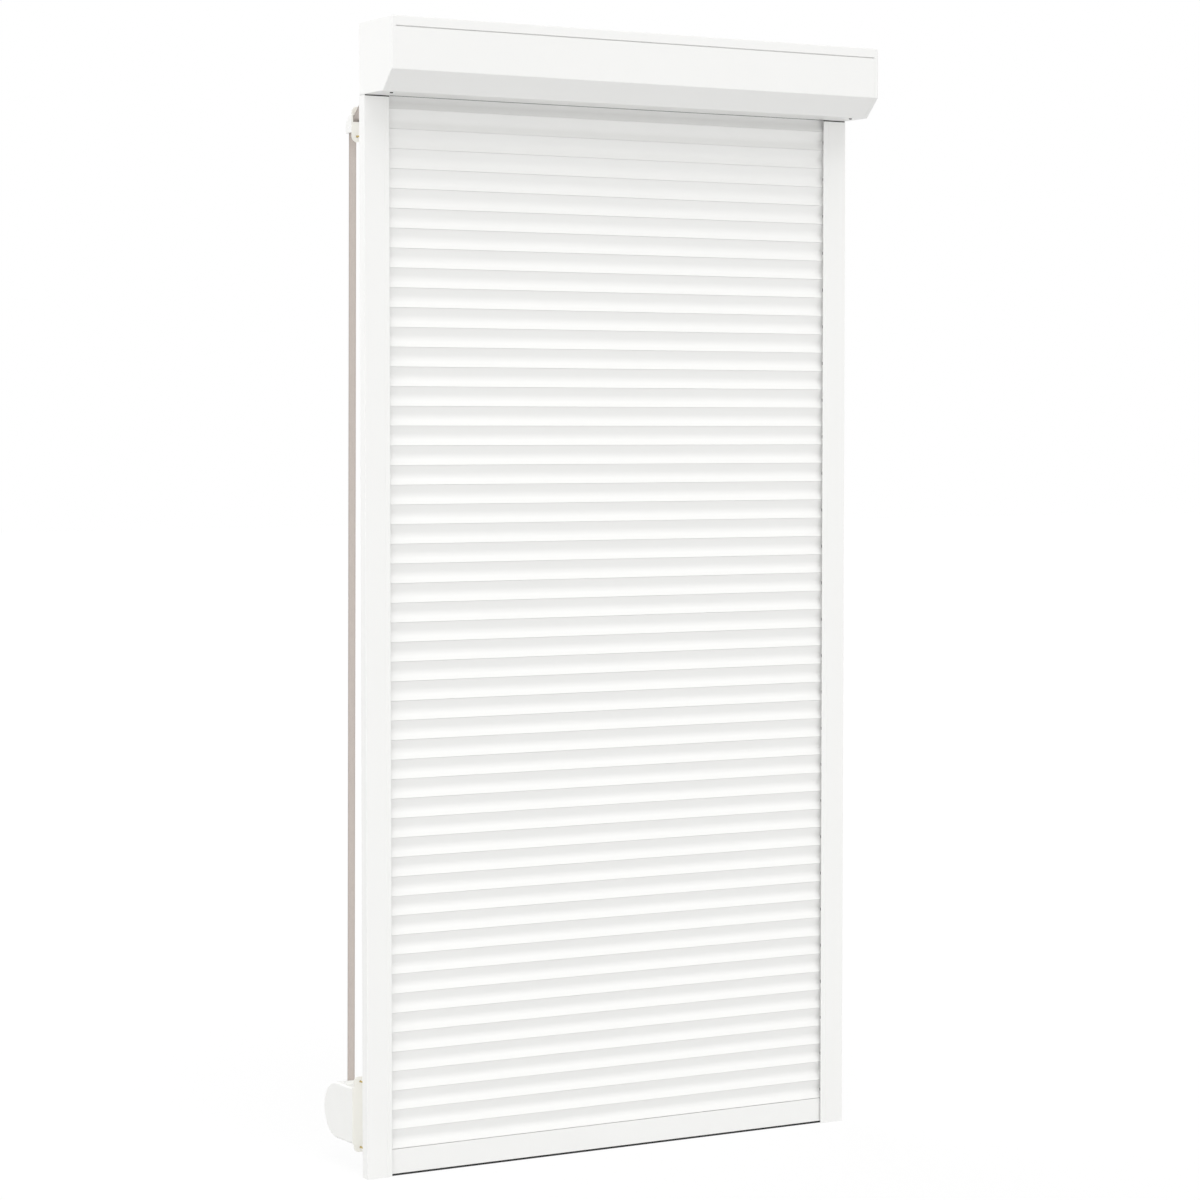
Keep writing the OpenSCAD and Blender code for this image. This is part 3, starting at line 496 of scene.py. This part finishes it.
# %% [markdown]
# ## Cassette
# The covers are bent sheet, so their bends come from the CAD profile and only need joined,
# smoothly shaded faces. The end caps are castings: the outline that meets the air is rounded,
# which draws the light line down their edge. Where a cover meets a cap or the other cover, its
# sharp edge is rounded, and the groove that this leaves is the seam that the eye finds. The seam
# between the two covers is opened further.

# %% Cassette
CAP_ROUND = 1.5 * MM
CAP_EDGE = 8 * MM
SEAM_ROUND = 0.45 * MM
SEAM_OPEN = 1.6 * MM
SEAM_DEEP = 2.4 * MM
TONGUE_FOOT = 41 * MM
TONGUE_ROOM = 5 * MM
SEAM_Z = 50 * MM
SHEET_T = 1.2 * MM
BOSS_ROOM = 16 * MM
NEAR = 0.05 * MM

half_width = cad_box[1].x
cheek_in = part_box("top_cover")[1].x
seam_x = half_width - CAP_EDGE
front_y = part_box("front_cover")[0].y
shaft_low, shaft_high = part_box("shaft_tube")
shaft_c = (shaft_low + shaft_high) / 2


def at_cap_edge(at):
    """The outline of an end cap, where it meets the air."""
    return abs(at.x) > half_width - NEAR


def at_seam(at):
    """The ends of a cover beside the caps, and the line where the two covers meet."""
    beside_cap = abs(at.x) > seam_x - NEAR
    return beside_cap or (at.y < front_y + NEAR and abs(at.z - SEAM_Z) < 2 * SEAM_OPEN)


def seam_moved_in(bm):
    """Moves the seam between cap and cover in, and leaves the bearing's seat where it is."""
    for v in bm.verts:
        from_shaft = math.hypot(v.co.y - shaft_c.y, v.co.z - shaft_c.z)
        if abs(abs(v.co.x) - cheek_in) < NEAR and from_shaft > BOSS_ROOM:
            v.co.x = math.copysign(seam_x, v.co.x)
    return bm


def seam_opened(bm):
    """Lowers the upper edge of the front cover and sets its tongue back, which leaves a groove."""
    edge = [v for v in bm.verts if abs(v.co.z - SEAM_Z) < SEAM_OPEN
            and v.co.y - front_y < SHEET_T + NEAR]
    bmesh.ops.translate(bm, vec=(0, 0, -SEAM_OPEN), verts=edge)
    tongue = [v for v in bm.verts if v.co.z > TONGUE_FOOT
              and SHEET_T + NEAR < v.co.y - front_y < TONGUE_ROOM]
    bmesh.ops.translate(bm, vec=(0, SEAM_DEEP, 0), verts=tongue)
    return bm


for side in ("left", "right"):
    node = "end_cap_" + side
    cap = soften(seam_moved_in(copy_of(node)), CAP_ROUND, at_cap_edge)
    finished(node + "_cast", cap, white_coat, stands_for=[node])

top_sheet = soften(seam_moved_in(copy_of("top_cover")), SEAM_ROUND, at_seam, 2)
finished("top_cover_sheet", top_sheet, white_coat, stands_for=["top_cover"])
front_sheet = soften(seam_opened(seam_moved_in(copy_of("front_cover"))), SEAM_ROUND, at_seam, 2)
finished("front_cover_sheet", front_sheet, white_coat, stands_for=["front_cover"])

# %% [markdown]
# ## Rails
# A rail is an extrusion that is sawn to length. Its profile keeps the two fine grooves on the
# front, and the saw leaves crisp ends.

# %% Rails
for side in ("left", "right"):
    node = "guide_rail_" + side
    finished(node + "_extrusion", copy_of(node), white_coat, stands_for=[node])

# %% [markdown]
# ## Slats
# A slat has a hollow front: seen from the side it is a flat flank that leans back from the nose, a
# cove, and a second flat flank that leans out to the next slat's nose. The flanks are what gives
# each slat two even tones with a soft change between them. The hook on the upper edge hangs in the
# socket of the slat above. Extruding a vertex draws a flank, a spin draws the cove, bridging front
# and back gives the section, and an extrusion draws that out.
# The curtain shrinks into the cassette as the bar rises.

# %% One slat
SLAT_PITCH = 37.5 * MM
JOINT_GAP = 0.3 * MM
LOWER_FLANK = 10 * MM
LOWER_LEAN = math.radians(25)
UPPER_FLANK = 14 * MM
UPPER_LEAN = math.radians(18)
COVE_STEPS = 16
BACK_R = 41.8 * MM
BACK_LINE = 32.8 * MM
BACK_MID = 19.2 * MM
SOCKET_R = 3.1 * MM
SOCKET_T = 1.0 * MM
HOOK_IN = 5.2 * MM
STEM_T = 1.4 * MM
BEAD_R = 1.7 * MM
BEAD_SIDES = 16
SLOT_ROOM = 0.82
SOCKET_STEPS = 20
NOSE_ROUND = 0.5 * MM
NOSE_DEEP = 2 * MM

slat_low, slat_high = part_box("slats")
slat_length = slat_high.x - slat_low.x
slat_count = int((slat_high.z - slat_low.z) / SLAT_PITCH)


def climb(bm, vert, height, lean):
    """Extrudes a vertex up a flank that leans back by an angle."""
    top = bmesh.ops.extrude_vert_indiv(bm, verts=[vert])["verts"][0]
    bmesh.ops.translate(bm, vec=(0, height * math.tan(lean), height), verts=[top])
    return top


def swing(bm, vert, middle, angle, steps):
    """Spins a vertex about a line along the slat."""
    spun = bmesh.ops.spin(bm, geom=[vert], cent=middle, axis=(1, 0, 0), angle=angle, steps=steps)
    return only(bmesh.types.BMVert, spun["geom_last"])[0]


def front_line(bm, height):
    """The slat's front from its nose to its upper edge."""
    vert = climb(bm, bm.verts.new(slat_low), LOWER_FLANK, LOWER_LEAN)
    cove_r = (height - LOWER_FLANK - UPPER_FLANK) / (math.sin(LOWER_LEAN) + math.sin(UPPER_LEAN))
    middle = vert.co + cove_r * Vector((0, -math.cos(LOWER_LEAN), math.sin(LOWER_LEAN)))
    vert = swing(bm, vert, middle, LOWER_LEAN + UPPER_LEAN, COVE_STEPS)
    climb(bm, vert, UPPER_FLANK, -UPPER_LEAN)


def back_line(bm, height):
    """The slat's back, one flat arc with as many steps as the front."""
    middle = slat_low + Vector((0, -BACK_LINE, BACK_MID))
    start = math.asin(-BACK_MID / BACK_R)
    stop = math.asin((height - BACK_MID) / BACK_R)
    vert = bm.verts.new(middle + BACK_R * Vector((0, math.cos(start), math.sin(start))))
    swing(bm, vert, middle, stop - start, COVE_STEPS + 2)


def bead(bm, y, z):
    """Round bar along the whole slat, which hangs in the socket of the slat above."""
    place = Matrix.Translation((0, y, z)) @ Matrix.Rotation(math.pi / 2, 4, "Y")
    bmesh.ops.create_cone(bm, cap_ends=True, segments=BEAD_SIDES, radius1=BEAD_R, radius2=BEAD_R,
                          depth=slat_length, matrix=place)


def one_slat():
    bm = bmesh.new()
    top = SLAT_PITCH - JOINT_GAP
    front_line(bm, top)
    back_line(bm, top)
    section = bmesh.ops.bridge_loops(bm, edges=bm.edges[:])["faces"]
    drawn_out(bm, section, slat_length)
    bmesh.ops.recalc_face_normals(bm, faces=bm.faces)
    soften(bm, NOSE_ROUND, lambda at: at.y < slat_low.y + NOSE_DEEP and at.z < slat_low.z + NEAR)
    hook_y = slat_low.y + HOOK_IN
    hook_z = slat_low.z + SLAT_PITCH + SOCKET_R
    bead(bm, hook_y, hook_z)
    stem_low = slat_low.z + top - NEAR
    stem = Matrix.Translation((0, hook_y, (stem_low + hook_z) / 2))
    stem_size = Matrix.Diagonal((slat_length, STEM_T, hook_z - stem_low, 1))
    bmesh.ops.create_cube(bm, size=1, matrix=stem @ stem_size)
    socket(bm, hook_y, slat_low.z + SOCKET_R)
    return bm


def socket(bm, y, z):
    """Round channel along the lower edge, open below where the stem goes in."""
    half_slot = math.asin(STEM_T * SLOT_ROOM / (SOCKET_R - SOCKET_T))
    start = half_slot - math.pi / 2
    spoke = Vector((0, math.cos(start), math.sin(start)))
    middle = Vector((slat_low.x, y, z))
    ends = [bm.verts.new(middle + r * spoke) for r in (SOCKET_R - SOCKET_T, SOCKET_R)]
    wall = bm.edges.new(ends)
    before = set(bm.faces)
    bmesh.ops.spin(bm, geom=[*ends, wall], cent=middle, axis=(1, 0, 0),
                   angle=2 * math.pi - 2 * half_slot, steps=SOCKET_STEPS)
    ring = [f for f in bm.faces if f not in before]
    drawn_out(bm, ring, slat_length)
    bmesh.ops.recalc_face_normals(bm, faces=[f for f in bm.faces if f not in before])


print("slats:", slat_count, "of", round(slat_length / MM, 1), "mm")


def roll_up(piece):
    """Gives a piece a mesh of its own."""
    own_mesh(piece)


curtain = one_slat()
first_slat = list(curtain.verts) + list(curtain.edges) + list(curtain.faces)
for row in range(1, slat_count):
    copied = bmesh.ops.duplicate(curtain, geom=first_slat)["geom"]
    bmesh.ops.translate(curtain, vec=(0, 0, row * SLAT_PITCH),
                        verts=only(bmesh.types.BMVert, copied))
roll_up(finished("curtain_slats", curtain, white_coat, stands_for=["slats"]))
roll_up(finished("slat_clips", copy_of("slat_end_clips"), black_plastic,
                 stands_for=["slat_end_clips"]))
roll_up(finished("hanger_strips", copy_of("curtain_hangers"), zinc,
                 stands_for=["curtain_hangers"]))

# %% [markdown]
# ## Bottom bar, seal and brushes
# The bar is one more extrusion. Under it sits a rubber lip that beds down on the sill. Thin black
# rubber strips under the cassette, along the slot and on top of the rails stand for draught lips,
# and their black is painted shadow: it darkens the gaps there, where shade falls. In the mouth of
# each rail two strips of brush pile keep the curtain from rattling. Pile isn't a block: its free
# edge is made of many short tufts, so that edge is cut into steps of a few millimetres and each
# step is trimmed by a noise that is the same on every run.

# %% Bottom bar and seal
PLUG_ROUND = 0.3 * MM
PLUG_OUT = 1 * MM
bar_low, bar_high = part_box("bottom_bar")
finished("bottom_bar_extrusion", copy_of("bottom_bar"), white_coat, "lifting_bar",
         ["bottom_bar"])
plugs = soften(copy_of("bar_end_plugs"), PLUG_ROUND,
               lambda at: abs(at.x) > bar_high.x + PLUG_OUT, 2)
finished("bar_plugs", plugs, black_plastic, "lifting_bar", ["bar_end_plugs"])

SEAL_LAP = 1.6 * MM
LAP_T = 0.1 * MM
LAP_CLEAR = 0.15 * MM
FACING = 0.9
seal_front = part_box("bottom_seal")[0].y


def seal_lip():
    """The seal, with a thin lip in front that laps over the bar's lower edge."""
    bm = copy_of("bottom_seal")
    front = [f for f in bm.faces if f.normal.y < -FACING and f.calc_center_median().z < bar_low.z]
    front = grown(bm, front, (0, bar_low.y - seal_front - LAP_CLEAR, 0))
    grown(bm, front, (0, -LAP_T, 0))
    lap = [f for f in bm.faces if f.normal.z > FACING and all(v.co.y < bar_low.y for v in f.verts)]
    grown(bm, lap, (0, 0, SEAL_LAP))
    return bm


finished("seal_lip", seal_lip(), rubber, "lifting_bar", ["bottom_seal"])

# %% Draught lips, black as painted shadow
LIP_T = 1.4 * MM
LIP_LOW = 0.5 * MM
LIP_REACH = 1 * MM
LIP_ROUND = 0.15 * MM
LIP_INSET = 2 * MM

cover_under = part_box("front_cover")[0].z
cover_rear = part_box("front_cover")[1].y
rail_low, rail_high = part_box("guide_rail_right")


def lip(bm, low, high):
    """Rubber strip between two corners. Its black is painted shadow for the gap it sits in."""
    size = Vector(high) - Vector(low)
    middle = Matrix.Translation((Vector(low) + Vector(high)) / 2)
    bmesh.ops.create_cube(bm, size=1, matrix=middle @ Matrix.Diagonal((*size, 1)))


# These strips paint shadow: their black darkens the gap under the cassette's slot and the gaps on
# top of the rails.
lips = bmesh.new()
lip(lips, (-rail_low.x, cover_rear - LIP_T, cover_under - LIP_LOW),
    (rail_low.x, cover_rear + LIP_REACH, cover_under))
rail_ends = (rail_low.x, rail_high.x - LIP_INSET)
for left, right in (rail_ends, (-rail_ends[1], -rail_ends[0])):
    lip(lips, (left, rail_low.y + NEAR, rail_high.z), (right, rail_low.y + LIP_T, cover_under))
soften(lips, LIP_ROUND, lambda at: True, 2)
finished("shadow_gap_lips", lips, rubber)

# %% Brush pile
PILE_STEP = 4 * MM
PILE_BASE = 1 * MM
PILE_T = 2 * MM
BASE_W = 4 * MM
TRIM = 0.6 * MM
TRIM_SCALE = 700
PILE_CLEAR = 0.3 * MM

pile_low, pile_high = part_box("rail_piles")
mouth_x = pile_high.x - BASE_W / 2


def brush(bm, x, wall_y, tip_y):
    """Flat base on the rail's wall, with pile that stands from it towards the curtain."""
    height = pile_high.z - pile_low.z
    middle_z = (pile_high.z + pile_low.z) / 2
    towards = math.copysign(1, tip_y - wall_y)
    base = Matrix.Translation((x, wall_y + towards * PILE_BASE / 2, middle_z))
    bmesh.ops.create_cube(bm, size=1, matrix=base @ Matrix.Diagonal((BASE_W, PILE_BASE, height, 1)))
    stand = Matrix.Translation((x, (wall_y + tip_y) / 2, middle_z))
    size = Matrix.Diagonal((PILE_T, abs(tip_y - wall_y), height, 1))
    block = bmesh.ops.create_cube(bm, size=1, matrix=stand @ size)["verts"]
    uprights = [e for e in {e for v in block for e in v.link_edges}
                if abs(e.verts[0].co.z - e.verts[1].co.z) > height / 2]
    bmesh.ops.subdivide_edges(bm, edges=uprights, cuts=int(height / PILE_STEP), use_grid_fill=True)
    tips = [v for v in bm.verts if abs(v.co.y - tip_y) < NEAR and abs(v.co.x - x) < PILE_T]
    for tip in tips:
        tip.co.y -= towards * TRIM * abs(spatial_noise.noise(tip.co * TRIM_SCALE))


piles = bmesh.new()
for mirror_side in (-1, 1):
    brush(piles, mirror_side * mouth_x, pile_low.y, slat_low.y - PILE_CLEAR)
    brush(piles, mirror_side * mouth_x, pile_high.y, slat_high.y + PILE_CLEAR)
finished("brush_piles", piles, pile, stands_for=["rail_piles"])

# %% [markdown]
# ## Strap
# The strap leaves the pulley, bends over a small roller in the cassette's back, crosses the wall,
# bends over the guide roller and runs down to the winder. It is made the way it lies: an edge as
# wide as the strap is extruded along the straight runs and spun round the rollers. Its UV map
# counts metres along it, so the weave keeps its size round the bends.

# %% Route of the strap
STRAP_T = 1.2 * MM
RUN_GAP = 0.3 * MM
BEND_STEPS = 8


def centre_of(node):
    low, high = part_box(node)
    return (low + high) / 2


def radius_of(node):
    low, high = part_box(node)
    return (high.z - low.z) / 2


def bend_on(radius):
    """Radius of the strap's middle where it lies on a roller or a coil."""
    return radius + RUN_GAP + STRAP_T / 2


def belt_angle(first, first_r, second, second_r, same_side):
    """Direction from a roller's middle to where a belt leaves it for the next roller."""
    step = second - first
    lean = math.acos((first_r - same_side * second_r) / math.hypot(step.y, step.z))
    return math.atan2(step.z, step.y) + lean


def aim(angle):
    return Vector((0, math.cos(angle), math.sin(angle)))


exit_c, exit_r = centre_of("strap_exit_roller"), bend_on(radius_of("strap_exit_roller"))
guide_c, guide_r = centre_of("guide_roller"), bend_on(radius_of("guide_roller"))
reel_c = centre_of("winder_axle")
reel_coil_r = reel_c.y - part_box("reel_strap_coil")[0].y
reel_r = bend_on(reel_coil_r)
leave_exit = belt_angle(exit_c, exit_r, guide_c, guide_r, 1)
leave_guide = belt_angle(guide_c, guide_r, reel_c, reel_r, -1)
strap_x = exit_c.x


def ribbon(start, left=strap_x - STRAP_W / 2, right=strap_x + STRAP_W / 2):
    """First edge of a strap or a spring, across its width."""
    bm = bmesh.new()
    ends = [bm.verts.new((x, start.y, start.z)) for x in (left, right)]
    return bm, bm.edges.new(ends)


def pull(bm, edge, to):
    """Extrudes the ribbon's last edge straight to a point."""
    geometry = bmesh.ops.extrude_edge_only(bm, edges=[edge])["geom"]
    far = only(bmesh.types.BMVert, geometry)
    here = (far[0].co + far[1].co) / 2
    bmesh.ops.translate(bm, vec=(0, to.y - here.y, to.z - here.z), verts=far)
    return [e for e in only(bmesh.types.BMEdge, geometry) if set(e.verts) == set(far)][0]


def wrap(bm, edge, middle, angle):
    """Spins the ribbon's last edge round a roller."""
    spun = bmesh.ops.spin(bm, geom=[*edge.verts, edge], cent=middle, axis=(1, 0, 0),
                          angle=angle, steps=BEND_STEPS)
    return only(bmesh.types.BMEdge, spun["geom_last"])[0]


def count_metres(bm, edge):
    """Lays the ribbon's UV map from an end edge, X across and Y along it, and returns its length."""
    uv = bm.loops.layers.uv.new("cloth")
    along = {edge: 0.0}
    seen = set()
    while True:
        ahead = [f for f in edge.link_faces if f not in seen]
        if not ahead:
            return along[edge]
        face = ahead[0]
        seen.add(face)
        after = [e for e in face.edges if not set(e.verts) & set(edge.verts)][0]
        here, there = [sum((v.co for v in e.verts), Vector()) / 2 for e in (edge, after)]
        along[after] = along[edge] + (there - here).length
        for loop in face.loops:
            height = along[edge] if loop.vert in edge.verts else along[after]
            loop[uv].uv = (loop.vert.co.x - strap_x + STRAP_W / 2, height)
        edge = after


def webbing_piece(name, bm, body, stands_for):
    """A ribbon with the strap's thickness and weave."""
    finished(name, bm, strap_webbing, body, stands_for, STRAP_T)


run, end = ribbon(Vector((0, shaft_c.y, exit_c.z + exit_r)))
run_start = end
end = pull(run, end, Vector((0, exit_c.y, exit_c.z + exit_r)))
end = wrap(run, end, exit_c, leave_exit - math.pi / 2)
end = pull(run, end, guide_c + guide_r * aim(leave_exit))
end = wrap(run, end, guide_c, leave_guide - leave_exit)
pull(run, end, reel_c - reel_r * aim(leave_guide))
run_length = count_metres(run, run_start)
webbing_piece("strap", run, "fixed_frame", ["strap_run"])
print("strap run:", round(run_length, 3), "m")

# %% Wound strap
TURN_STEPS = 36
LAYER_GAP = 0.5 * MM
TURN_PITCH = STRAP_T + LAYER_GAP
PULLEY_TURNS = 7
REEL_TURNS = 2


def wind(bm, edge, middle, radius, pitch, turns, start, hand):
    """Winds a ribbon's edge inwards on a spiral, one extruded step at a time."""
    for step in range(1, turns * TURN_STEPS + 1):
        angle = start + hand * 2 * math.pi * step / TURN_STEPS
        edge = pull(bm, edge, middle + (radius - pitch * step / TURN_STEPS) * aim(angle))


def wound_strap(name, node, middle, outer, turns, start, hand, body):
    """Strap on a pulley or reel. Returns its length."""
    radius = outer - STRAP_T / 2
    bm, first = ribbon(middle + radius * aim(start))
    wind(bm, first, middle, radius, TURN_PITCH, turns, start, hand)
    length = count_metres(bm, first)
    webbing_piece(name, bm, body, [node])
    return length


pulley_coil_r = shaft_c.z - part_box("pulley_strap_coil")[0].z
on_pulley = wound_strap("wound_on_pulley", "pulley_strap_coil", shaft_c, pulley_coil_r,
                        PULLEY_TURNS, -math.pi / 2, -1, "winding_shaft")
on_reel = wound_strap("wound_on_reel", "reel_strap_coil", reel_c, reel_coil_r,
                      REEL_TURNS, math.pi, 1, "strap_reel")
print("strap in all:", round(run_length + on_pulley + on_reel, 2), "m")

# %% [markdown]
# ## Winder spring
# A flat spiral spring in the reel takes up the slack strap. It is a ribbon of steel, so the strap's
# own helpers wind it: seven open turns from the drum in to the hub.

# %% Winder spring
SPRING_T = 0.5 * MM
SPRING_TURNS = 7
HUB_R = 6.8 * MM

spring_low, spring_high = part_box("winder_spring")
spring_r = spring_high.z - reel_c.z - SPRING_T / 2
spring, spring_end = ribbon(reel_c + spring_r * aim(math.pi / 2), spring_low.x, spring_high.x)
wind(spring, spring_end, reel_c, spring_r, (spring_r - HUB_R - SPRING_T / 2) / SPRING_TURNS,
     SPRING_TURNS, math.pi / 2, 1)
finished("spiral_spring", spring, zinc, "strap_reel", ["winder_spring"],
         SPRING_T)

# %% [markdown]
# ## Guide and winder
# Both fittings sit indoors: a plate screwed to the frame, and a moulded cover on it. Mouldings
# have no sharp outer edges, so theirs are rounded. The winder's housing is split down the middle,
# and the fine groove along the split comes from rounding both halves where they meet.

# %% Guide and winder
PLATE_ROUND = 0.6 * MM
HOOD_ROUND = 0.9 * MM
SPLIT = 0.35 * MM

guide_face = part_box("guide_plate")[1].y
winder_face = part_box("winder_plate")[1].y
hood_low, hood_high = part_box("guide_hood")

for node, face_y in (("guide_plate", guide_face), ("winder_plate", winder_face)):
    plate = soften(copy_of(node), PLATE_ROUND, lambda at: at.y > face_y - NEAR, 2)
    finished(node + "_moulded", plate, cream_plastic, stands_for=[node])


def on_hood_side(at):
    return at.x < hood_low.x + NEAR or at.x > hood_high.x - NEAR


hood = soften(copy_of("guide_hood"), HOOD_ROUND, on_hood_side)
finished("guide_hood_moulded", hood, white_plastic, stands_for=["guide_hood"])

for side in ("left", "right"):
    node = "winder_housing_" + side
    half = soften(copy_of(node), SPLIT, lambda at: abs(at.x - strap_x) < NEAR, 2)
    finished(node + "_moulded", half, white_plastic, stands_for=[node])

inlet_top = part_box("winder_inlet")[1].z
inlet = soften(copy_of("winder_inlet"), PLATE_ROUND, lambda at: at.z > inlet_top - NEAR, 2)
finished("winder_inlet_moulded", inlet, white_plastic, stands_for=["winder_inlet"])

# %% [markdown]
# ## Screws
# Guide and winder hang on the window frame by countersunk screws, and the cassette and the winder
# are closed by small pan heads. All have a cross recess. It could be cut with a boolean, but a grid
# of nine faces already holds a cross: its five middle faces are pushed in, and the grid's rim is
# extruded ring by ring down the screw, with every ring's points moved out to its own radius.

# %% Screws
RING = 12
CROSS = 0.62
ARM = 0.22
CROSS_DEPTH = 1.1 * MM
CROSS_TAPER = 0.55


def cross_recess(bm, head_r):
    """Square top of a screw head with a cross pushed into it. Returns its outer edges."""
    half, arm = CROSS * head_r, ARM * head_r
    square = bmesh.ops.create_grid(bm, x_segments=3, y_segments=3, size=half)["verts"]
    for v in square:
        v.co.x, v.co.y = [math.copysign(half if abs(at) > half / 2 else arm, at) for at in v.co.xy]
    faces = {f for v in square for f in v.link_faces}
    rim = [e for e in {e for f in faces for e in f.edges} if len(e.link_faces) == 1]
    cross = [f for f in faces if min(abs(at) for at in f.calc_center_median().xy) < arm / 2]
    pushed = grown(bm, cross, (0, 0, -CROSS_DEPTH))
    floor_verts = list({v for f in pushed for v in f.verts})
    bmesh.ops.scale(bm, vec=(CROSS_TAPER, CROSS_TAPER, 1), verts=floor_verts)
    return rim


def screw(bm, outline, place):
    """A screw whose outline gives depth and radius of each ring, put in its place."""
    one = bmesh.new()
    ring = cross_recess(one, outline[0][1])
    for depth, radius in outline:
        extruded = bmesh.ops.extrude_edge_only(one, edges=ring)["geom"]
        verts = only(bmesh.types.BMVert, extruded)
        for v in verts:
            v.co = (*(radius * v.co.xy.normalized()), -depth)
        ring = [e for e in only(bmesh.types.BMEdge, extruded) if set(e.verts) <= set(verts)]
    bmesh.ops.holes_fill(one, edges=ring, sides=RING)
    bmesh.ops.recalc_face_normals(one, faces=one.faces)
    one.transform(place)
    made = bpy.data.meshes.new("one_screw")
    one.to_mesh(made)
    one.free()
    bm.from_mesh(made)
    bpy.data.meshes.remove(made)


def thread(outline, pitch, tooth, reach):
    """Adds rings for a thread to an outline, down to a depth, and a point."""
    depth, radius = outline[-1]
    while depth + pitch < reach:
        outline += [(depth + pitch / 2, radius - tooth), (depth + pitch, radius)]
        depth += pitch
    return outline + [(reach + pitch, tooth / 2)]


def head_radius(outline):
    return max(radius for depth, radius in outline)


print("screws have a cross", round(CROSS_DEPTH / MM, 1), "mm deep")

# %% Screws in place
WOOD_SCREW = thread([(0, 3.5 * MM), (0.3 * MM, 3.5 * MM), (2.1 * MM, 1.7 * MM)],
                    pitch=1.5 * MM, tooth=0.45 * MM, reach=14 * MM)
COVER_SCREW = thread([(0, 2.4 * MM), (0.5 * MM, 3.1 * MM),
                      (1.6 * MM, 3.3 * MM), (1.6 * MM, 1.5 * MM)],
                     pitch=0.9 * MM, tooth=0.25 * MM, reach=9.6 * MM)
HOUSING_SCREW = thread([(0, 2.1 * MM), (0.5 * MM, 2.8 * MM),
                        (1.8 * MM, 3.0 * MM), (1.8 * MM, 1.5 * MM)],
                       pitch=0.9 * MM, tooth=0.25 * MM, reach=27 * MM)
FACING_IN = Matrix.Rotation(-math.pi / 2, 4, "X")
FACING_DOWN = Matrix.Rotation(math.pi, 4, "X")
FACING_RIGHT = Matrix.Rotation(math.pi / 2, 4, "Y")
GUIDE_HOLES = (-141 * MM, -95.5 * MM)
WINDER_HOLES = (-2084.2 * MM, -1956.2 * MM)

wood_screws = bmesh.new()
for face_y, holes in ((guide_face, GUIDE_HOLES), (winder_face, WINDER_HOLES)):
    for hole_z in holes:
        screw(wood_screws, WOOD_SCREW, Matrix.Translation((strap_x, face_y, hole_z)) @ FACING_IN)
finished("mounting_screws", wood_screws, yellow_zinc)

cover_low, cover_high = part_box("cover_screws")
cover_x = cover_high.x - head_radius(COVER_SCREW)
cover_screws = bmesh.new()
for x in (-cover_x, cover_x):
    spot = Matrix.Translation((x, (cover_low.y + cover_high.y) / 2, cover_low.z))
    screw(cover_screws, COVER_SCREW, spot @ FACING_DOWN)
finished("cover_pan_screws", cover_screws, black_zinc, stands_for=["cover_screws"])

case_low, case_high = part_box("housing_screws")
case_screws = bmesh.new()
for z in (case_low.z + head_radius(HOUSING_SCREW), case_high.z - head_radius(HOUSING_SCREW)):
    spot = Matrix.Translation((case_high.x, (case_low.y + case_high.y) / 2, z))
    screw(case_screws, HOUSING_SCREW, spot @ FACING_RIGHT)
finished("housing_pan_screws", case_screws, bright_steel,
         stands_for=["housing_screws"])

# %% [markdown]
# ## Inner works
# The shaft, bearings, rollers and other small works have their right shape from the CAD model.
# They keep it, and get the finish of what they are made of.

# %% Inner works
FINISH_OF_SLOT = {"black_plastic": black_plastic, "white_plastic": white_plastic,
                  "galvanised_steel": zinc, "bright_steel": bright_steel}
kept = []
for part in frame["record"]["subparts"]:
    node = nodes[part["node"]]
    if node.hide_render:
        continue
    node.material_slots[0].material = FINISH_OF_SLOT[part["material_slot"]]
    kept.append(part["node"])
print("kept from the CAD model:", ", ".join(kept))
